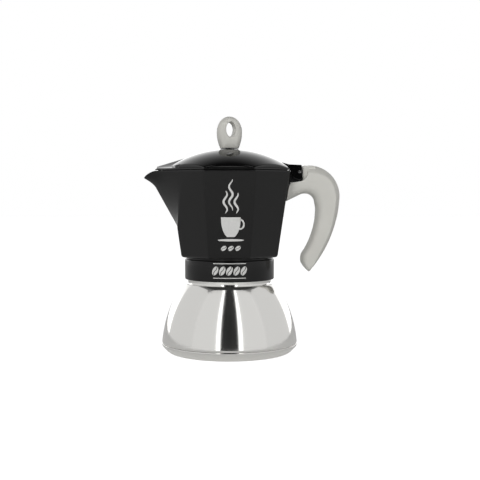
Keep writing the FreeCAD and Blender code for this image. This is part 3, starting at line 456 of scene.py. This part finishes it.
def makeCollector(s):
    # rows of points from the collar up the outside, over the rim and down the inside to the socket; a round
    # corner of radius r is r (1 - cos a) by r (1 - sin a), and above the joint a row stands at a share of
    # the way to each column's own rim height
    rows = []
    columns = collectorAngles(np.array(s["high"]), s)
    lowColumns = collectorAngles(np.array(s["low"]), s)

    def circle(radius, z):
        # a level ring about the axis, its points in the octagon's directions
        rows.append(np.stack([radius * np.cos(lowColumns), radius * np.sin(lowColumns),
                              np.full_like(lowColumns, z)], axis=-1))

    def section(z, inset):
        # the rounded section at one height, set in by inset
        angle = collectorAngles(np.asarray(z, float), s)
        x, y = collectorSection(angle, np.asarray(z, float), inset, s)
        rows.append(np.stack([x, y, np.full_like(x, z)], axis=-1))

    collar = roundedPath([(s["socket"], s["collarLow"] + 1), (s["socket"], s["collarLow"], 0.4),
                          (s["collarRadius"], s["collarLow"], 0.7), (s["collarRadius"], s["collarHigh"], 0.8),
                          (s["collarRadius"] - 1.2, s["collarHigh"] + 0.15, 0.5),
                          (s["collarRadius"] - 1.1, s["low"] + 0.1)])
    for radius, z in collar:
        circle(radius, z)
    lower = s["lowerRound"]
    for a in np.linspace(0, np.pi / 2, 9):
        section(s["low"] + 0.3 + lower * (1 - np.cos(a)), lower * (1 - np.sin(a)))
    joint = s["spoutStart"]
    for z in np.linspace(s["low"] + 4, joint, 8):
        section(z, 0.0)
    top = rimAt(columns, 0.0, s)
    rim = s["rimRound"]
    share = np.concatenate([np.linspace(0, 0.6, 14)[1:], np.linspace(0.6, 1, 22)[1:]])

    def towardsRim(f, inset, drop):
        # the section at the share f of the way from the joint to the rim less drop
        z = joint + (top - drop - joint) * f
        angle = collectorAngles(np.asarray(joint + (s["high"] - joint) * f), s)
        x, y = collectorSection(angle, z, inset, s)
        rows.append(np.stack([x, y, z], axis=-1))

    for f in share:
        towardsRim(f, 0.0, rim)
    for a in np.linspace(0, np.pi / 2, 6)[1:]:
        towardsRim(1.0, rim * (1 - np.cos(a)), rim * (1 - np.sin(a)))
    inner, lip, corner = s["wall"], s["lipRound"], s["insideRound"]
    for a in np.linspace(np.pi / 2, 0, 6):
        towardsRim(1.0, inner - lip * (1 - np.cos(a)), lip * (1 - np.sin(a)))
    for f in np.linspace(1, 0, 16)[1:]:
        towardsRim(f, inner, lip)
    for z in np.linspace(joint, s["floor"] + corner, 6)[1:]:
        section(z, inner)
    for a in np.linspace(0, np.pi / 2, 8)[1:]:
        section(s["floor"] + corner * (1 - np.sin(a)), inner + corner * (1 - np.cos(a)))
    inside = roundedPath([(26, s["floor"]), (s["holeRadius"], s["floor"]), (s["holeRadius"], s["chamber"]),
                          (24.5, s["seat"]), (s["socket"], s["seat"]), (s["socket"], s["collarLow"] + 1)])
    for radius, z in inside:
        circle(radius, z)
    piece = makePiece("collectorShell", np.array(rows), bodyBlack, "collector", True, False, 45)
    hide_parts("collector_body")


makeCollector(collector)
print("collector made")


lid = {
    "flat": boxOf("lid_shell")[1][1], "low": collector["high"] + 0.3, "plateTop": collector["high"] + 1.2,
    "crest": boxOf("knob_seat")[0][2], "dome": 85.03, "wall": 1.8, "wallInset": 0.7, "edgeRound": 0.9,
    "coverReach": 56.9, "coverDistance": 45.69, "coverTurn": 136.3, "coverHalf": 6.5, "coverSpread": 1.046,
    "coverHollow": 1.7, "coverFrom": 146.1, "ridgeAtTip": collector["high"] + 3.4, "ridgeSlope": 0.298,
    "ridgeRound": 1.6, "domeEdge": 45.3, "sharpness": 260.0, "columns": 576, "crowding": 0.7,
}


def lidRadius(angle, inset, s):
    # the rounded polygon of the seven flats, the cover's two slanted sides and its blunt tip
    planes = [(math.radians(45 * k), s["flat"]) for k in range(-3, 4)]
    planes += [(math.radians(side * s["coverTurn"]), s["coverDistance"]) for side in (-1, 1)]
    planes += [(math.pi, s["coverReach"])]
    return roundedPolygon(angle, [(turn, distance - inset) for turn, distance in planes], s["sharpness"])


def domeHeight(radius, depth, s):
    # sphere of the dome's radius less the depth, about the same centre
    return s["crest"] - s["dome"] + np.sqrt(np.clip((s["dome"] - depth) ** 2 - radius ** 2, 0, None))


def roofHeight(x, y, depth, s):
    # the spout cover: a ridge that climbs from the tip, with flanks that fall to the lid's edge as the
    # power coverHollow of the share left, steep by the ridge and flatter by the edge
    edge = s["plateTop"] + 0.3 - depth
    ridge = s["ridgeAtTip"] + s["ridgeSlope"] * (x + s["coverReach"]) - depth
    half = s["coverHalf"] + s["coverSpread"] * (x + s["coverReach"])
    away = np.sqrt(y ** 2 + s["ridgeRound"] ** 2) - s["ridgeRound"] * 0.5
    share = np.clip(1 - away / np.clip(half, 1, None), 0, 1)
    roof = edge + (ridge - edge) * share ** s["coverHollow"]
    return np.where(x < -16, roof, 0)


def lidHeight(angle, radius, depth, s):
    # the higher of the dome and the spout cover
    x = radius * np.cos(angle)
    y = radius * np.sin(angle)
    return np.maximum(domeHeight(radius, depth, s), roofHeight(x, y, depth, s))


def makeLid(s):
    # rows of points from the crest out to the edge, down the thin rim and back under the roof. The directions
    # are even shares of arc length plus crowding times the contour's turning, so its corners get more of them
    fine = np.linspace(-np.pi, np.pi, 20001)
    radius = lidRadius(fine, 0, s)
    step = np.hypot(np.diff(radius * np.cos(fine)), np.diff(radius * np.sin(fine)))
    bend = np.abs(np.gradient(np.unwrap(np.arctan2(np.gradient(radius * np.sin(fine)),
                                                   np.gradient(radius * np.cos(fine))))))[1:]
    weight = step / step.sum() + bend / bend.sum() * s["crowding"]
    angle = np.interp(np.linspace(0, 1, s["columns"], endpoint=False),
                      np.concatenate([[0], np.cumsum(weight) / weight.sum()]), fine)
    inset = s["wallInset"]
    edge = lidRadius(angle, inset + s["edgeRound"], s)
    spout = np.abs(angle) > math.radians(s["coverFrom"])

    def valley(depth, limit):
        # distance at which the dome gives way to the spout cover, by halving the interval
        low = np.full_like(angle, 18.0)
        high = limit * 0.985
        for _ in range(30):
            middle = (low + high) / 2
            roof = roofHeight(middle * np.cos(angle), middle * np.sin(angle), depth, s)
            over = roof > domeHeight(middle, depth, s)
            high = np.where(over, middle, high)
            low = np.where(over, low, middle)
        return np.where(spout, np.minimum(high, s["domeEdge"] - depth), high)

    def beyond(at, depth):
        # past the valley the cover's roof alone stands in the spout's sector
        roof = roofHeight(at * np.cos(angle), at * np.sin(angle), depth, s)
        return np.where(spout, roof, lidHeight(angle, at, depth, s))

    rows = []

    def row(radius, z):
        # one row of the lid: a distance from the axis and a height in each direction
        level = np.broadcast_to(z, angle.shape)
        rows.append(np.stack([radius * np.cos(angle), radius * np.sin(angle), level], axis=-1))

    fold = valley(0, edge)
    for f in np.linspace(0, 1, 44):
        row(fold * f, lidHeight(angle, fold * f, 0, s) if f < 1 else domeHeight(fold, 0, s))
    for f in np.concatenate([[0.02], np.linspace(0, 1, 16)[1:]]):
        radius = fold + (edge - fold) * f
        row(radius, beyond(radius, 0))
    rounding = s["edgeRound"]
    for a in np.radians(np.linspace(15, 90, 6)):
        at = lidRadius(angle, inset + rounding * (1 - np.sin(a)), s)
        z = beyond(at, 0) - rounding * (1 - np.cos(a)) * 0.8
        row(at, np.maximum(z, s["plateTop"] + 0.06))
    for more, z in ((0, 0.32), (0.12, 0.05), (-0.1, 0.0), (-0.4, 0.0), (-0.62, -0.08), (-0.7, -0.3)):
        row(lidRadius(angle, inset + more, s), s["plateTop"] + z)
    for more, z in ((0, 0.25), (0.1, 0.06), (0.35, 0.0)):
        row(lidRadius(angle, more, s), s["low"] + z)
    inner = lidRadius(angle, s["wall"], s)
    row(inner, s["low"])

    def ceiling(at):
        # the roof's underside, a wall's depth below the top and never far under the plate
        return np.maximum(np.where(at > s["domeEdge"] - 1.6, beyond(at, s["wall"]),
                                   lidHeight(angle, at, s["wall"], s)), s["plateTop"] - 0.5)

    row(inner, ceiling(inner))
    fold = valley(s["wall"], inner)
    for f in np.linspace(1, 0, 10)[1:]:
        at = fold + (inner - fold) * f
        row(at, ceiling(at))
    for f in np.linspace(1, 0, 30)[1:]:
        row(fold * f, ceiling(fold * f))
    piece = makePiece("lidDome", np.array(rows), lidBlack, "lid", True, False, 24)
    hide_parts("lid_shell")


makeLid(lid)
print("lid made")


hinge = {
    "earLow": 5.35, "earHigh": 8.35, "earRadius": 6.1, "lugHalf": 5.0, "edge": 0.35,
}


def fromRim(points):
    # points given as (beyond the flat, above the rim, radius) become (x, z, radius)
    return [(collector["flatHigh"] + p[0], collector["high"] + p[1], *p[2:]) for p in points]


def makeHinge(s):
    # the ear's outline: a tail inside the dome's wall, a level top, and a foot that is an arc about the pin;
    # the lug is a slab between the ears with a strip running down the body behind the grip
    pinX, pinZ = np.mean(boxOf("hinge_pin"), axis=0)[[0, 2]]
    sweep = np.radians(np.linspace(-62, -178, 22))
    foot = np.stack([pinX + s["earRadius"] * np.cos(sweep), pinZ + s["earRadius"] * np.sin(sweep)], axis=1)
    top = fromRim([(-2.5, 3.1), (-7.3, 6.7), (-0.3, 4.8, 4), (9.4, 4.4, 0.8), (9.7, -2.3, 3)])
    top = roundedPath(top + [tuple(foot[0])])[:-1]
    tail = np.array(fromRim([(0.1, 0.6), (-1.6, 0.7)]))
    outline = np.concatenate([top, foot, tail])
    near, far = s["earLow"], s["earHigh"]
    for name, low, high in (("earFront", -far, -near), ("earBack", near, far)):
        piece = slabPiece(name, outline, low, high, lidBlack, "lid", s["edge"])
        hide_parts("lid_shell")
    strip = roundedPath(fromRim([(-4.4, -23.3), (-2.15, -23.3, 0.4), (-0.05, -8.65, 1.5), (9.9, -8.65, 0.4),
                                 (9.9, -1.8, 2), (8.6, 2.6, 3), (5.1, 2.6, 2), (1.6, -1.0, 2), (-3.4, -1.0)]))
    piece = slabPiece("hingeLug", strip, -s["lugHalf"], s["lugHalf"], bodyBlack, "collector", s["edge"])
    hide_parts("collector_body")


makeHinge(hinge)
print("hinge made")


knob = {
    "footHalf": 7.1, "half": 9.9, "waist": 12.5, "rise": 24.5, "depth": 6.0, "eyeHalf": 3.5,
    "eyeTall": 5.5, "eyeRise": 14.5, "turn": 15.0, "outerFullness": 2.1, "eyeFullness": 5.0,
    "crownShare": 0.3, "topSlimness": 0.72, "around": 200, "across": 72,
}


def makeKnob(s):
    # a ring: for each direction from the eye a superellipse spans from the eye to the egg's outline;
    # its inner half is nearly square, a straight-walled eye, and its outer half nearly round
    foot = boxOf("knob")[0][2]
    up = np.linspace(-2.0, s["rise"], 1500)
    below = s["half"] * (1 - (1 - s["footHalf"] / s["half"]) * ((s["waist"] - up) / s["waist"]) ** 2)
    above = s["half"] * np.sqrt(np.clip(1 - ((up - s["waist"]) / (s["rise"] - s["waist"])) ** 2, 0, None))
    half = np.where(up < s["waist"], below, above)
    spots = np.concatenate([np.stack([half, up], axis=1), np.stack([-half[::-1], up[::-1]], axis=1),
                            np.stack([np.linspace(-half[0], half[0], 200), np.full(200, up[0])], axis=1)])
    spots[:, 1] -= s["eyeRise"]
    around = np.arctan2(spots[:, 1], spots[:, 0])
    order = np.argsort(around)
    angle = np.linspace(-np.pi, np.pi, s["around"], endpoint=False)
    reach = np.interp(angle, around[order], np.hypot(*spots.T)[order], period=2 * np.pi)
    eye = 1 / np.sqrt((np.cos(angle) / s["eyeHalf"]) ** 2 + (np.sin(angle) / s["eyeTall"]) ** 2)
    turn = np.linspace(0, 2 * np.pi, s["across"], endpoint=False)[:, None]
    power = 2 / np.where(np.cos(turn) > 0, s["outerFullness"], s["eyeFullness"])
    swing = np.sign(np.cos(turn)) * np.abs(np.cos(turn)) ** power
    depth = s["depth"] * np.sign(np.sin(turn)) * np.abs(np.sin(turn)) ** power
    crown = s["crownShare"]
    radius = eye + (reach - eye) * (crown + np.where(swing > 0, 1 - crown, crown) * swing)
    x = radius * np.cos(angle)
    z = np.maximum(radius * np.sin(angle) + s["eyeRise"], 0) + foot
    slim = s["topSlimness"]
    thick = np.clip(slim + (1 - slim) * (foot + s["rise"] - z) / s["rise"], 0.7, 1.0)
    y = depth * thick
    cos, sin = math.cos(math.radians(s["turn"])), math.sin(math.radians(s["turn"]))
    points = np.stack([x * cos - y * sin, x * sin + y * cos, z], axis=-1)
    piece = makePiece("knobRing", points, softGrey, "lid", True, True, 50)
    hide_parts("knob")


makeKnob(knob)
print("knob made")


grip = {
    "half": 8.4, "edgeHalf": 2.8, "bandShare": 0.2, "crown": 0.35, "stations": 170, "tongueHalf": 4.95,
    "roundFrom": 0.62, "rootShare": 0.3, "endShare": 0.1,
}


def arcThrough(first, last, radius, count=40):
    # an arc between two points; a positive radius bulges to the left of the way from first to last
    first, last = np.array(first, float), np.array(last, float)
    chord = last - first
    length = np.linalg.norm(chord)
    left = np.array([-chord[1], chord[0]]) / length
    side = -np.sign(radius)
    centre = (first + last) / 2 + side * left * math.sqrt(radius ** 2 - length ** 2 / 4)
    start = math.atan2(*(first - centre)[::-1])
    sweep = math.asin(length / 2 / abs(radius)) * 2 * side
    turn = start + np.linspace(0, 1, count) * sweep
    return centre + abs(radius) * np.stack([np.cos(turn), np.sin(turn)], axis=1)


def alongPath(path, share):
    # points at shares of a path's length
    length = np.concatenate([[0], np.cumsum(np.linalg.norm(np.diff(path, axis=0), axis=1))])
    return np.stack([np.interp(share * length[-1], length, path[:, k]) for k in (0, 1)], axis=-1)


def makeGrip(s):
    # stations along the bar join its outer and inner curves; across each, the half thickness grows from the
    # narrow outer edge over the chamfered band to the face, then closes as an ellipse at the inner curve.
    # Near the root the stations blend smoothly into the root's own outline
    first, back, tip = fromRim([(16.1, 4.1), (39.0, -22.5), (15.7, -78.1)])
    outer = np.concatenate([fromRim([(14.3, 4.0)]), arcThrough(first, back, 23.9, 90),
                            arcThrough(back, tip, 94.3, 120)[1:]])
    throat = fromRim([(3.6, -20.6), (11.1, -17.1, 9), (18.6, -18.5, 7), (20.4, -28.3)])
    palm, heel, chin = fromRim([(20.4, -28.3), (9.5, -63.8), (9.3, -70.8)])
    inner = np.concatenate([fromRim([(-2.1, -23.5)]), roundedPath(throat, steps=24)[1:-1],
                            arcThrough(palm, heel, 62, 70), arcThrough(heel, chin, -11, 14)[1:],
                            arcThrough(chin, tip, -24, 14)[1:]])
    root = fromRim([(14.3, 4.0), (14.3, -1.0, 2.5), (12.7, -5.5, 2.5), (9.6, -7.9, 2.5), (4.1, -9.0, 2.5),
                    (0.5, -9.4, 2.5), (-0.9, -13.3, 2.5), (-2.1, -23.5)])
    root = roundedPath(root, steps=6)
    share = np.linspace(0, 1, s["stations"]) ** 1.12
    outerSpots = alongPath(outer, share)[:, None]
    innerSpots = alongPath(inner, share)[:, None]
    u = np.concatenate([[0, 0, 0.01, 0.05, 0.1, 0.15, 0.18, 0.2, 0.22, 0.25], np.linspace(0.3, 0.72, 8),
                        0.72 + 0.28 * np.sin(np.radians(np.linspace(8, 90, 14)))])
    face = s["half"] - s["crown"]
    band = s["edgeHalf"] + (face - s["edgeHalf"]) * smooth(u / s["bandShare"]) ** 0.8
    swell = face + s["crown"] * np.sin(np.clip((u - s["bandShare"]) / 0.3, 0, 1) * np.pi / 2)
    closing = np.clip(u - s["roundFrom"], 0, None) / (1 - s["roundFrom"])
    width = np.where(u < s["bandShare"], band, swell) * np.sqrt(np.clip(1 - closing ** 2.2, 0, 1))
    width[0] = 0
    width[1] = s["edgeHalf"] - 0.6
    across = u[None, :, None]
    straight = outerSpots + (innerSpots - outerSpots) * across
    rooted = alongPath(root, u)[None] + (outerSpots - outerSpots[:1]) * (1 - across)
    rooted = rooted + (innerSpots - innerSpots[:1]) * across
    blend = smooth(share / s["rootShare"])[:, None, None]
    spots = rooted * (1 - blend) + straight * blend
    end = np.sqrt(np.clip(1 - np.clip((share - 1 + s["endShare"]) / s["endShare"], 0, 1) ** 2.4, 0, 1))
    end[0] = 0.0
    spots[0] = spots[1]
    thickness = width[None] * end[:, None]
    front = np.stack([spots[..., 0], -thickness, spots[..., 1]], axis=-1)
    back = np.stack([spots[..., 0], thickness, spots[..., 1]], axis=-1)[:, ::-1]
    points = np.concatenate([front, back[:, 1:-1]], axis=1)
    piece = makePiece("gripBar", points, softGrey, "collector", True, False, 38)
    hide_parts("handle_grip")
    outline = roundedPath(fromRim([(10.25, -8.4), (10.25, 3.95, 1.2), (20.1, 3.7), (22.1, -7.3),
                                   (14.1, -12.8), (4.1, -15.8), (0.7, -9.0, 0.5)]))
    piece = slabPiece("gripTongue", outline, -s["tongueHalf"], s["tongueHalf"], softGrey, "collector", 0.5)
    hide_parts("handle_grip")


makeGrip(grip)
print("grip made")


emblem = {
    "lift": 0.035, "cupTop": 105.5, "cupLow": 91.0, "cupHalf": 7.2, "saucer": 88.6, "saucerHalf": 9.4,
    "steamLow": 108.5, "steamHigh": 133.0, "centre": 1.0, "beanRow": 82.6, "collarBeans": 65.6,
    "collarLine": 5.4, "collarHalf": 12.4, "beanLong": 3.1, "beanWide": 2.1, "beanStep": 5.2,
    "collarBeanStep": 5.4, "lineWidth": 0.55, "steamPitch": 11.0, "steamSwing": 1.3,
}


def ribbon(middle, width, across=5):
    # a strip of the given width along a line of (across, up) points, square to the line
    way = np.gradient(middle, axis=0)
    way /= np.linalg.norm(way, axis=1, keepdims=True)
    side = np.stack([-way[:, 1], way[:, 0]], axis=1)
    share = np.linspace(-0.5, 0.5, across)
    return middle[:, None] + side[:, None] * (np.asarray(width).reshape(-1, 1, 1) * share[None, :, None])


def beanHalves(centre, long, wide, tilt):
    # two halves of an ellipse either side of an S-shaped furrow, one turn of a sine along the bean
    up = np.linspace(-1, 1, 25)[:, None]
    share = np.linspace(0, 1, 7)[None]
    rim = np.sqrt(np.clip(1 - up ** 2, 0, None)) * wide
    furrow = np.sin(up * np.pi) * wide * 0.22
    gap = np.minimum(wide * 0.13, rim * 0.4)
    halves = []
    for side in (-1, 1):
        x = (furrow * (rim / wide) + side * gap) * (1 - share) + side * rim * share
        y = np.broadcast_to(up * long, x.shape)
        halves.append(np.stack([centre[0] + x * math.cos(tilt) - y * math.sin(tilt),
                                centre[1] + x * math.sin(tilt) + y * math.cos(tilt)], axis=-1))
    return halves


def printPiece(name, shapes, place, body, lift):
    # the shapes' grids are laid on the surface that place() gives, as one thin layer of ink; the quads are
    # turned to face the front, where the cross product of their sides points to negative y
    spots, quads, count = [], [], 0
    for shape in shapes:
        rows, columns = shape.shape[:2]
        index = np.arange(rows * columns).reshape(rows, columns) + count
        quads.append(gridQuads(index))
        spots.append(place(shape.reshape(-1, 2)))
        count += rows * columns
    spots, quads = np.concatenate(spots), np.concatenate(quads)
    normal = np.cross(spots[quads[:, 1]] - spots[quads[:, 0]], spots[quads[:, 3]] - spots[quads[:, 0]])
    quads[normal[:, 1] > 0] = quads[normal[:, 1] > 0][:, ::-1]
    piece = placePiece(name, spots, quads.tolist(), ink, body, 0)
    skin = piece.modifiers.new("ink", "SOLIDIFY")
    skin.thickness = lift * mm * 1.5
    skin.offset = -1


def makeEmblems(s):
    # a cup whose half width is the root of 1 - 0.86 (1 - rise) ^ 2.2, its handle an elliptic arc, a saucer,
    # three sine waves of steam and rows of beans, wrapped on the front facet and on the collar
    x0 = s["centre"]
    rise = np.linspace(0, 1, 40)
    shapes = []
    z = s["cupLow"] + (s["cupTop"] - s["cupLow"]) * rise
    half = s["cupHalf"] * np.sqrt(np.clip(1 - (1 - rise) ** 2.2 * 0.86, 0, 1))
    cup = x0 + half[:, None] * np.linspace(-1, 1, 15)
    shapes.append(np.stack([cup, np.broadcast_to(z[:, None], cup.shape)], axis=-1))
    turn = np.linspace(-1.9, 1.75, 40)
    loop = np.stack([x0 + s["cupHalf"] - 0.3 + 2.6 * np.cos(turn),
                     s["cupTop"] - 5.2 + 3.4 * np.sin(turn)], axis=1)
    shapes.append(ribbon(loop, np.full(40, 1.15)))
    line = np.stack([np.linspace(-1, 1, 30) * s["saucerHalf"] + x0, np.full(30, s["saucer"])], axis=1)
    shapes.append(ribbon(line, 1.5 * np.sqrt(1 - np.linspace(-0.97, 0.97, 30) ** 2) + 0.2))
    for shift, low, high in ((-4.0, 0.0, 0.66), (0.0, 0.08, 1.0), (4.0, 0.0, 0.6)):
        span = s["steamHigh"] - s["steamLow"]
        z = s["steamLow"] + span * (low + (high - low) * rise)
        wave = x0 + shift + s["steamSwing"] * np.sin((z - s["steamLow"]) / s["steamPitch"] * 2 * np.pi)
        shapes.append(ribbon(np.stack([wave, z], axis=1), 0.35 + 1.25 * np.sin(rise * np.pi) ** 0.7))
    for k in (-1, 0, 1):
        place = (x0 + s["beanStep"] * k, s["beanRow"])
        shapes += beanHalves(place, s["beanWide"] * 1.1, s["beanLong"] * 0.5, -0.9)
    c = collector

    def onFacet(flat):
        # on the front flat, which leans out with height: y = -(its distance from the axis + lift)
        return np.stack([flat[:, 0], -(flatAt(flat[:, 1], c) + s["lift"]), flat[:, 1]], axis=1)

    printPiece("facetEmblem", shapes, onFacet, "collector", s["lift"])
    shapes = []
    for side in (-1, 1):
        wide = np.linspace(-1, 1, 60) * s["collarHalf"]
        level = np.full(60, s["collarBeans"] + side * s["collarLine"])
        shapes.append(ribbon(np.stack([wide, level], axis=1), np.full(60, s["lineWidth"])))
    for k in range(-2, 3):
        place = (s["collarBeanStep"] * k, s["collarBeans"])
        shapes += beanHalves(place, s["beanLong"] + 0.5, s["beanWide"], -0.45)

    def onCollar(flat):
        # wrapped round the collar: the angle is x / radius
        turn = flat[:, 0] / c["collarRadius"]
        radius = c["collarRadius"] + s["lift"]
        return np.stack([radius * np.sin(turn), -radius * np.cos(turn), flat[:, 1]], axis=1)

    printPiece("collarEmblem", shapes, onCollar, "collector", s["lift"])


makeEmblems(emblem)
print("emblems made")


finishes = {
    "valve_body": turnedBrass, "valve_plunger": turnedBrass, "valve_retainer": turnedBrass,
    "valve_seal": blackRubber, "valve_spring": pinSteel, "funnel": spunAluminium,
    "funnel_tube": spunAluminium, "funnel_filter": filterSteel, "filter_plate": filterSteel,
    "gasket": paleSilicone, "coffee_column": castAluminium, "column_cap": castAluminium,
    "hinge_pin": pinSteel, "knob_seat": lidBlack, "knob_washer": pinSteel, "knob_screw": pinSteel,
    "handle_core": darkNylon, "handle_screw": pinSteel,
}
for nodeName, finish in finishes.items():
    for place in bpy.data.objects[nodeName].material_slots:
        place.material = finish
print("finishes set")


studio = {
    "cameraY": -688.0, "cameraZ": 122.5, "pitch": 2.97, "pan": 0.68, "lens": 66.6,
    "dim": 0.2, "horizon": 2.3, "zenith": 0.04, "zenithAt": 0.86,
    "floor": "e8e8e7", "floorHalf": 4.0, "floorGlow": 0.2, "floorSeen": 0.84,
    "cardFront": -1.0, "cardTop": 1.9, "gap": 0.27, "stripEnd": 0.4, "softEnd": 1.45, "softBack": -0.7,
    "sideEnd": 1.6, "sideBack": 1.2, "strip": 2.2, "soft": 0.85, "side": 0.8,
    "key": 7.2, "keyUneven": 0.15, "lampSize": 0.5, "lampOut": 0.5, "lampShift": -0.15, "lampFront": -1.35,
    "lampHeight": 0.6, "lampAim": 0.09,
}


def makeCamera(s):
    # a long lens at lid height, looking a little down; pitch and pan are in degrees
    data = bpy.data.cameras.new("camera")
    data.lens = s["lens"]
    data.sensor_width = 36
    data.clip_start = 0.01
    camera = bpy.data.objects.new("camera", data)
    camera.location = (0, s["cameraY"] * mm, s["cameraZ"] * mm)
    camera.rotation_euler = (math.radians(90 - s["pitch"]), 0, math.radians(-s["pan"]))
    bpy.context.scene.collection.objects.link(camera)
    bpy.context.scene.camera = camera


def stageSheet(name, corners, colour, glow, seenGlow=0.0):
    # a flat sheet of four corners in metres. One with a seenGlow is a floor, which glows by that much in the
    # camera's sight and by glow elsewhere; any other is a soft box that shows only in reflections
    mesh = bpy.data.meshes.new(name)
    mesh.from_pydata(corners, [], [[0, 1, 2, 3]])
    card = bpy.data.objects.new(name, mesh)
    bpy.context.scene.collection.objects.link(card)
    material, tree, shader = newMaterial(name + "Surface", colour, 0.8)
    shader.inputs["Emission Color"].default_value = (1, 1, 1, 1)
    shader.inputs["Emission Strength"].default_value = glow
    if seenGlow:
        path = addNode(tree, "ShaderNodeLightPath")
        level = addNode(tree, "ShaderNodeMapRange", {"To Min": glow, "To Max": seenGlow},
                        {"Value": path.outputs["Is Camera Ray"]})
        tree.links.new(level.outputs["Result"], shader.inputs["Emission Strength"])
    card.data.materials.append(material)
    card.visible_camera = card.visible_diffuse = card.visible_shadow = bool(seenGlow)


def uprightCard(name, first, last, high, colour, glow):
    # a card standing on the line between two (x, y) points of the floor
    stageSheet(name, [(*first, 0), (*last, 0), (*last, high), (*first, high)], colour, glow)


def keyLamp(name, place, target, size, power):
    # a square lamp that lights without showing in reflections, turned from straight down to face its target
    lamp = bpy.data.lights.new(name, "AREA")
    lamp.size = size
    lamp.energy = power
    item = bpy.data.objects.new(name, lamp)
    way = np.array(target, float) - np.array(place, float)
    item.location = place
    item.rotation_euler = (math.atan2(math.hypot(way[0], way[1]), -way[2]), 0, math.atan2(-way[0], way[1]))
    item.visible_glossy = False
    bpy.context.scene.collection.objects.link(item)


def makeStudio(s):
    # a pale sweep: the camera sees plain white all round, while the pot is lit by the lamps and mirrors the
    # cards and a surround that falls evenly from horizon to zenith with the upward part of the direction
    world = bpy.data.worlds.new("studio")
    bpy.context.scene.world = world
    world.use_nodes = True
    tree = world.node_tree
    path = addNode(tree, "ShaderNodeLightPath")
    place = addNode(tree, "ShaderNodeTexCoord")
    split = addNode(tree, "ShaderNodeSeparateXYZ", {}, {"Vector": place.outputs["Generated"]})
    fall = {"From Max": s["zenithAt"], "To Min": s["horizon"], "To Max": s["zenith"]}
    sky = addNode(tree, "ShaderNodeMapRange", fall, {"Value": split.outputs["Z"]})
    sheen = addNode(tree, "ShaderNodeMix", {"A": s["dim"]},
                    {"Factor": path.outputs["Is Glossy Ray"], "B": sky.outputs["Result"]})
    level = addNode(tree, "ShaderNodeMapRange", {"To Max": 1.0},
                    {"Value": path.outputs["Is Camera Ray"], "To Min": sheen.outputs["Result"]})
    tree.nodes["Background"].inputs["Color"].default_value = (1, 1, 1, 1)
    tree.links.new(level.outputs["Result"], tree.nodes["Background"].inputs["Strength"])
    bpy.context.scene.view_settings.view_transform = "Standard"
    half, front, top = s["floorHalf"], s["cardFront"], s["cardTop"]
    corners = [(-half, -half, 0), (half, -half, 0), (half, half, 0), (-half, half, 0)]
    stageSheet("floor", corners, s["floor"], s["floorGlow"], s["floorSeen"])
    for name, side in (("left", -1), ("right", 1)):
        gap, end = (side * s["gap"], front), (side * s["stripEnd"], front)
        corner, back = (side * s["softEnd"], s["softBack"]), (side * s["sideEnd"], s["sideBack"])
        uprightCard(name + "Strip", gap, end, top, "000000", s["strip"])
        uprightCard(name + "Soft", end, corner, top, "000000", s["soft"])
        uprightCard(name + "Side", corner, back, top, "000000", s["side"])
        place = (side * s["lampOut"] + s["lampShift"], s["lampFront"], s["lampHeight"])
        power = s["key"] * (1 - side * s["keyUneven"])
        keyLamp(name + "Key", place, (0, 0, s["lampAim"]), s["lampSize"], power)
    uprightCard("darkCard", (-s["gap"], front), (s["gap"], front), top, "080808", 0.0)


makeCamera(studio)
makeStudio(studio)
print("studio made")
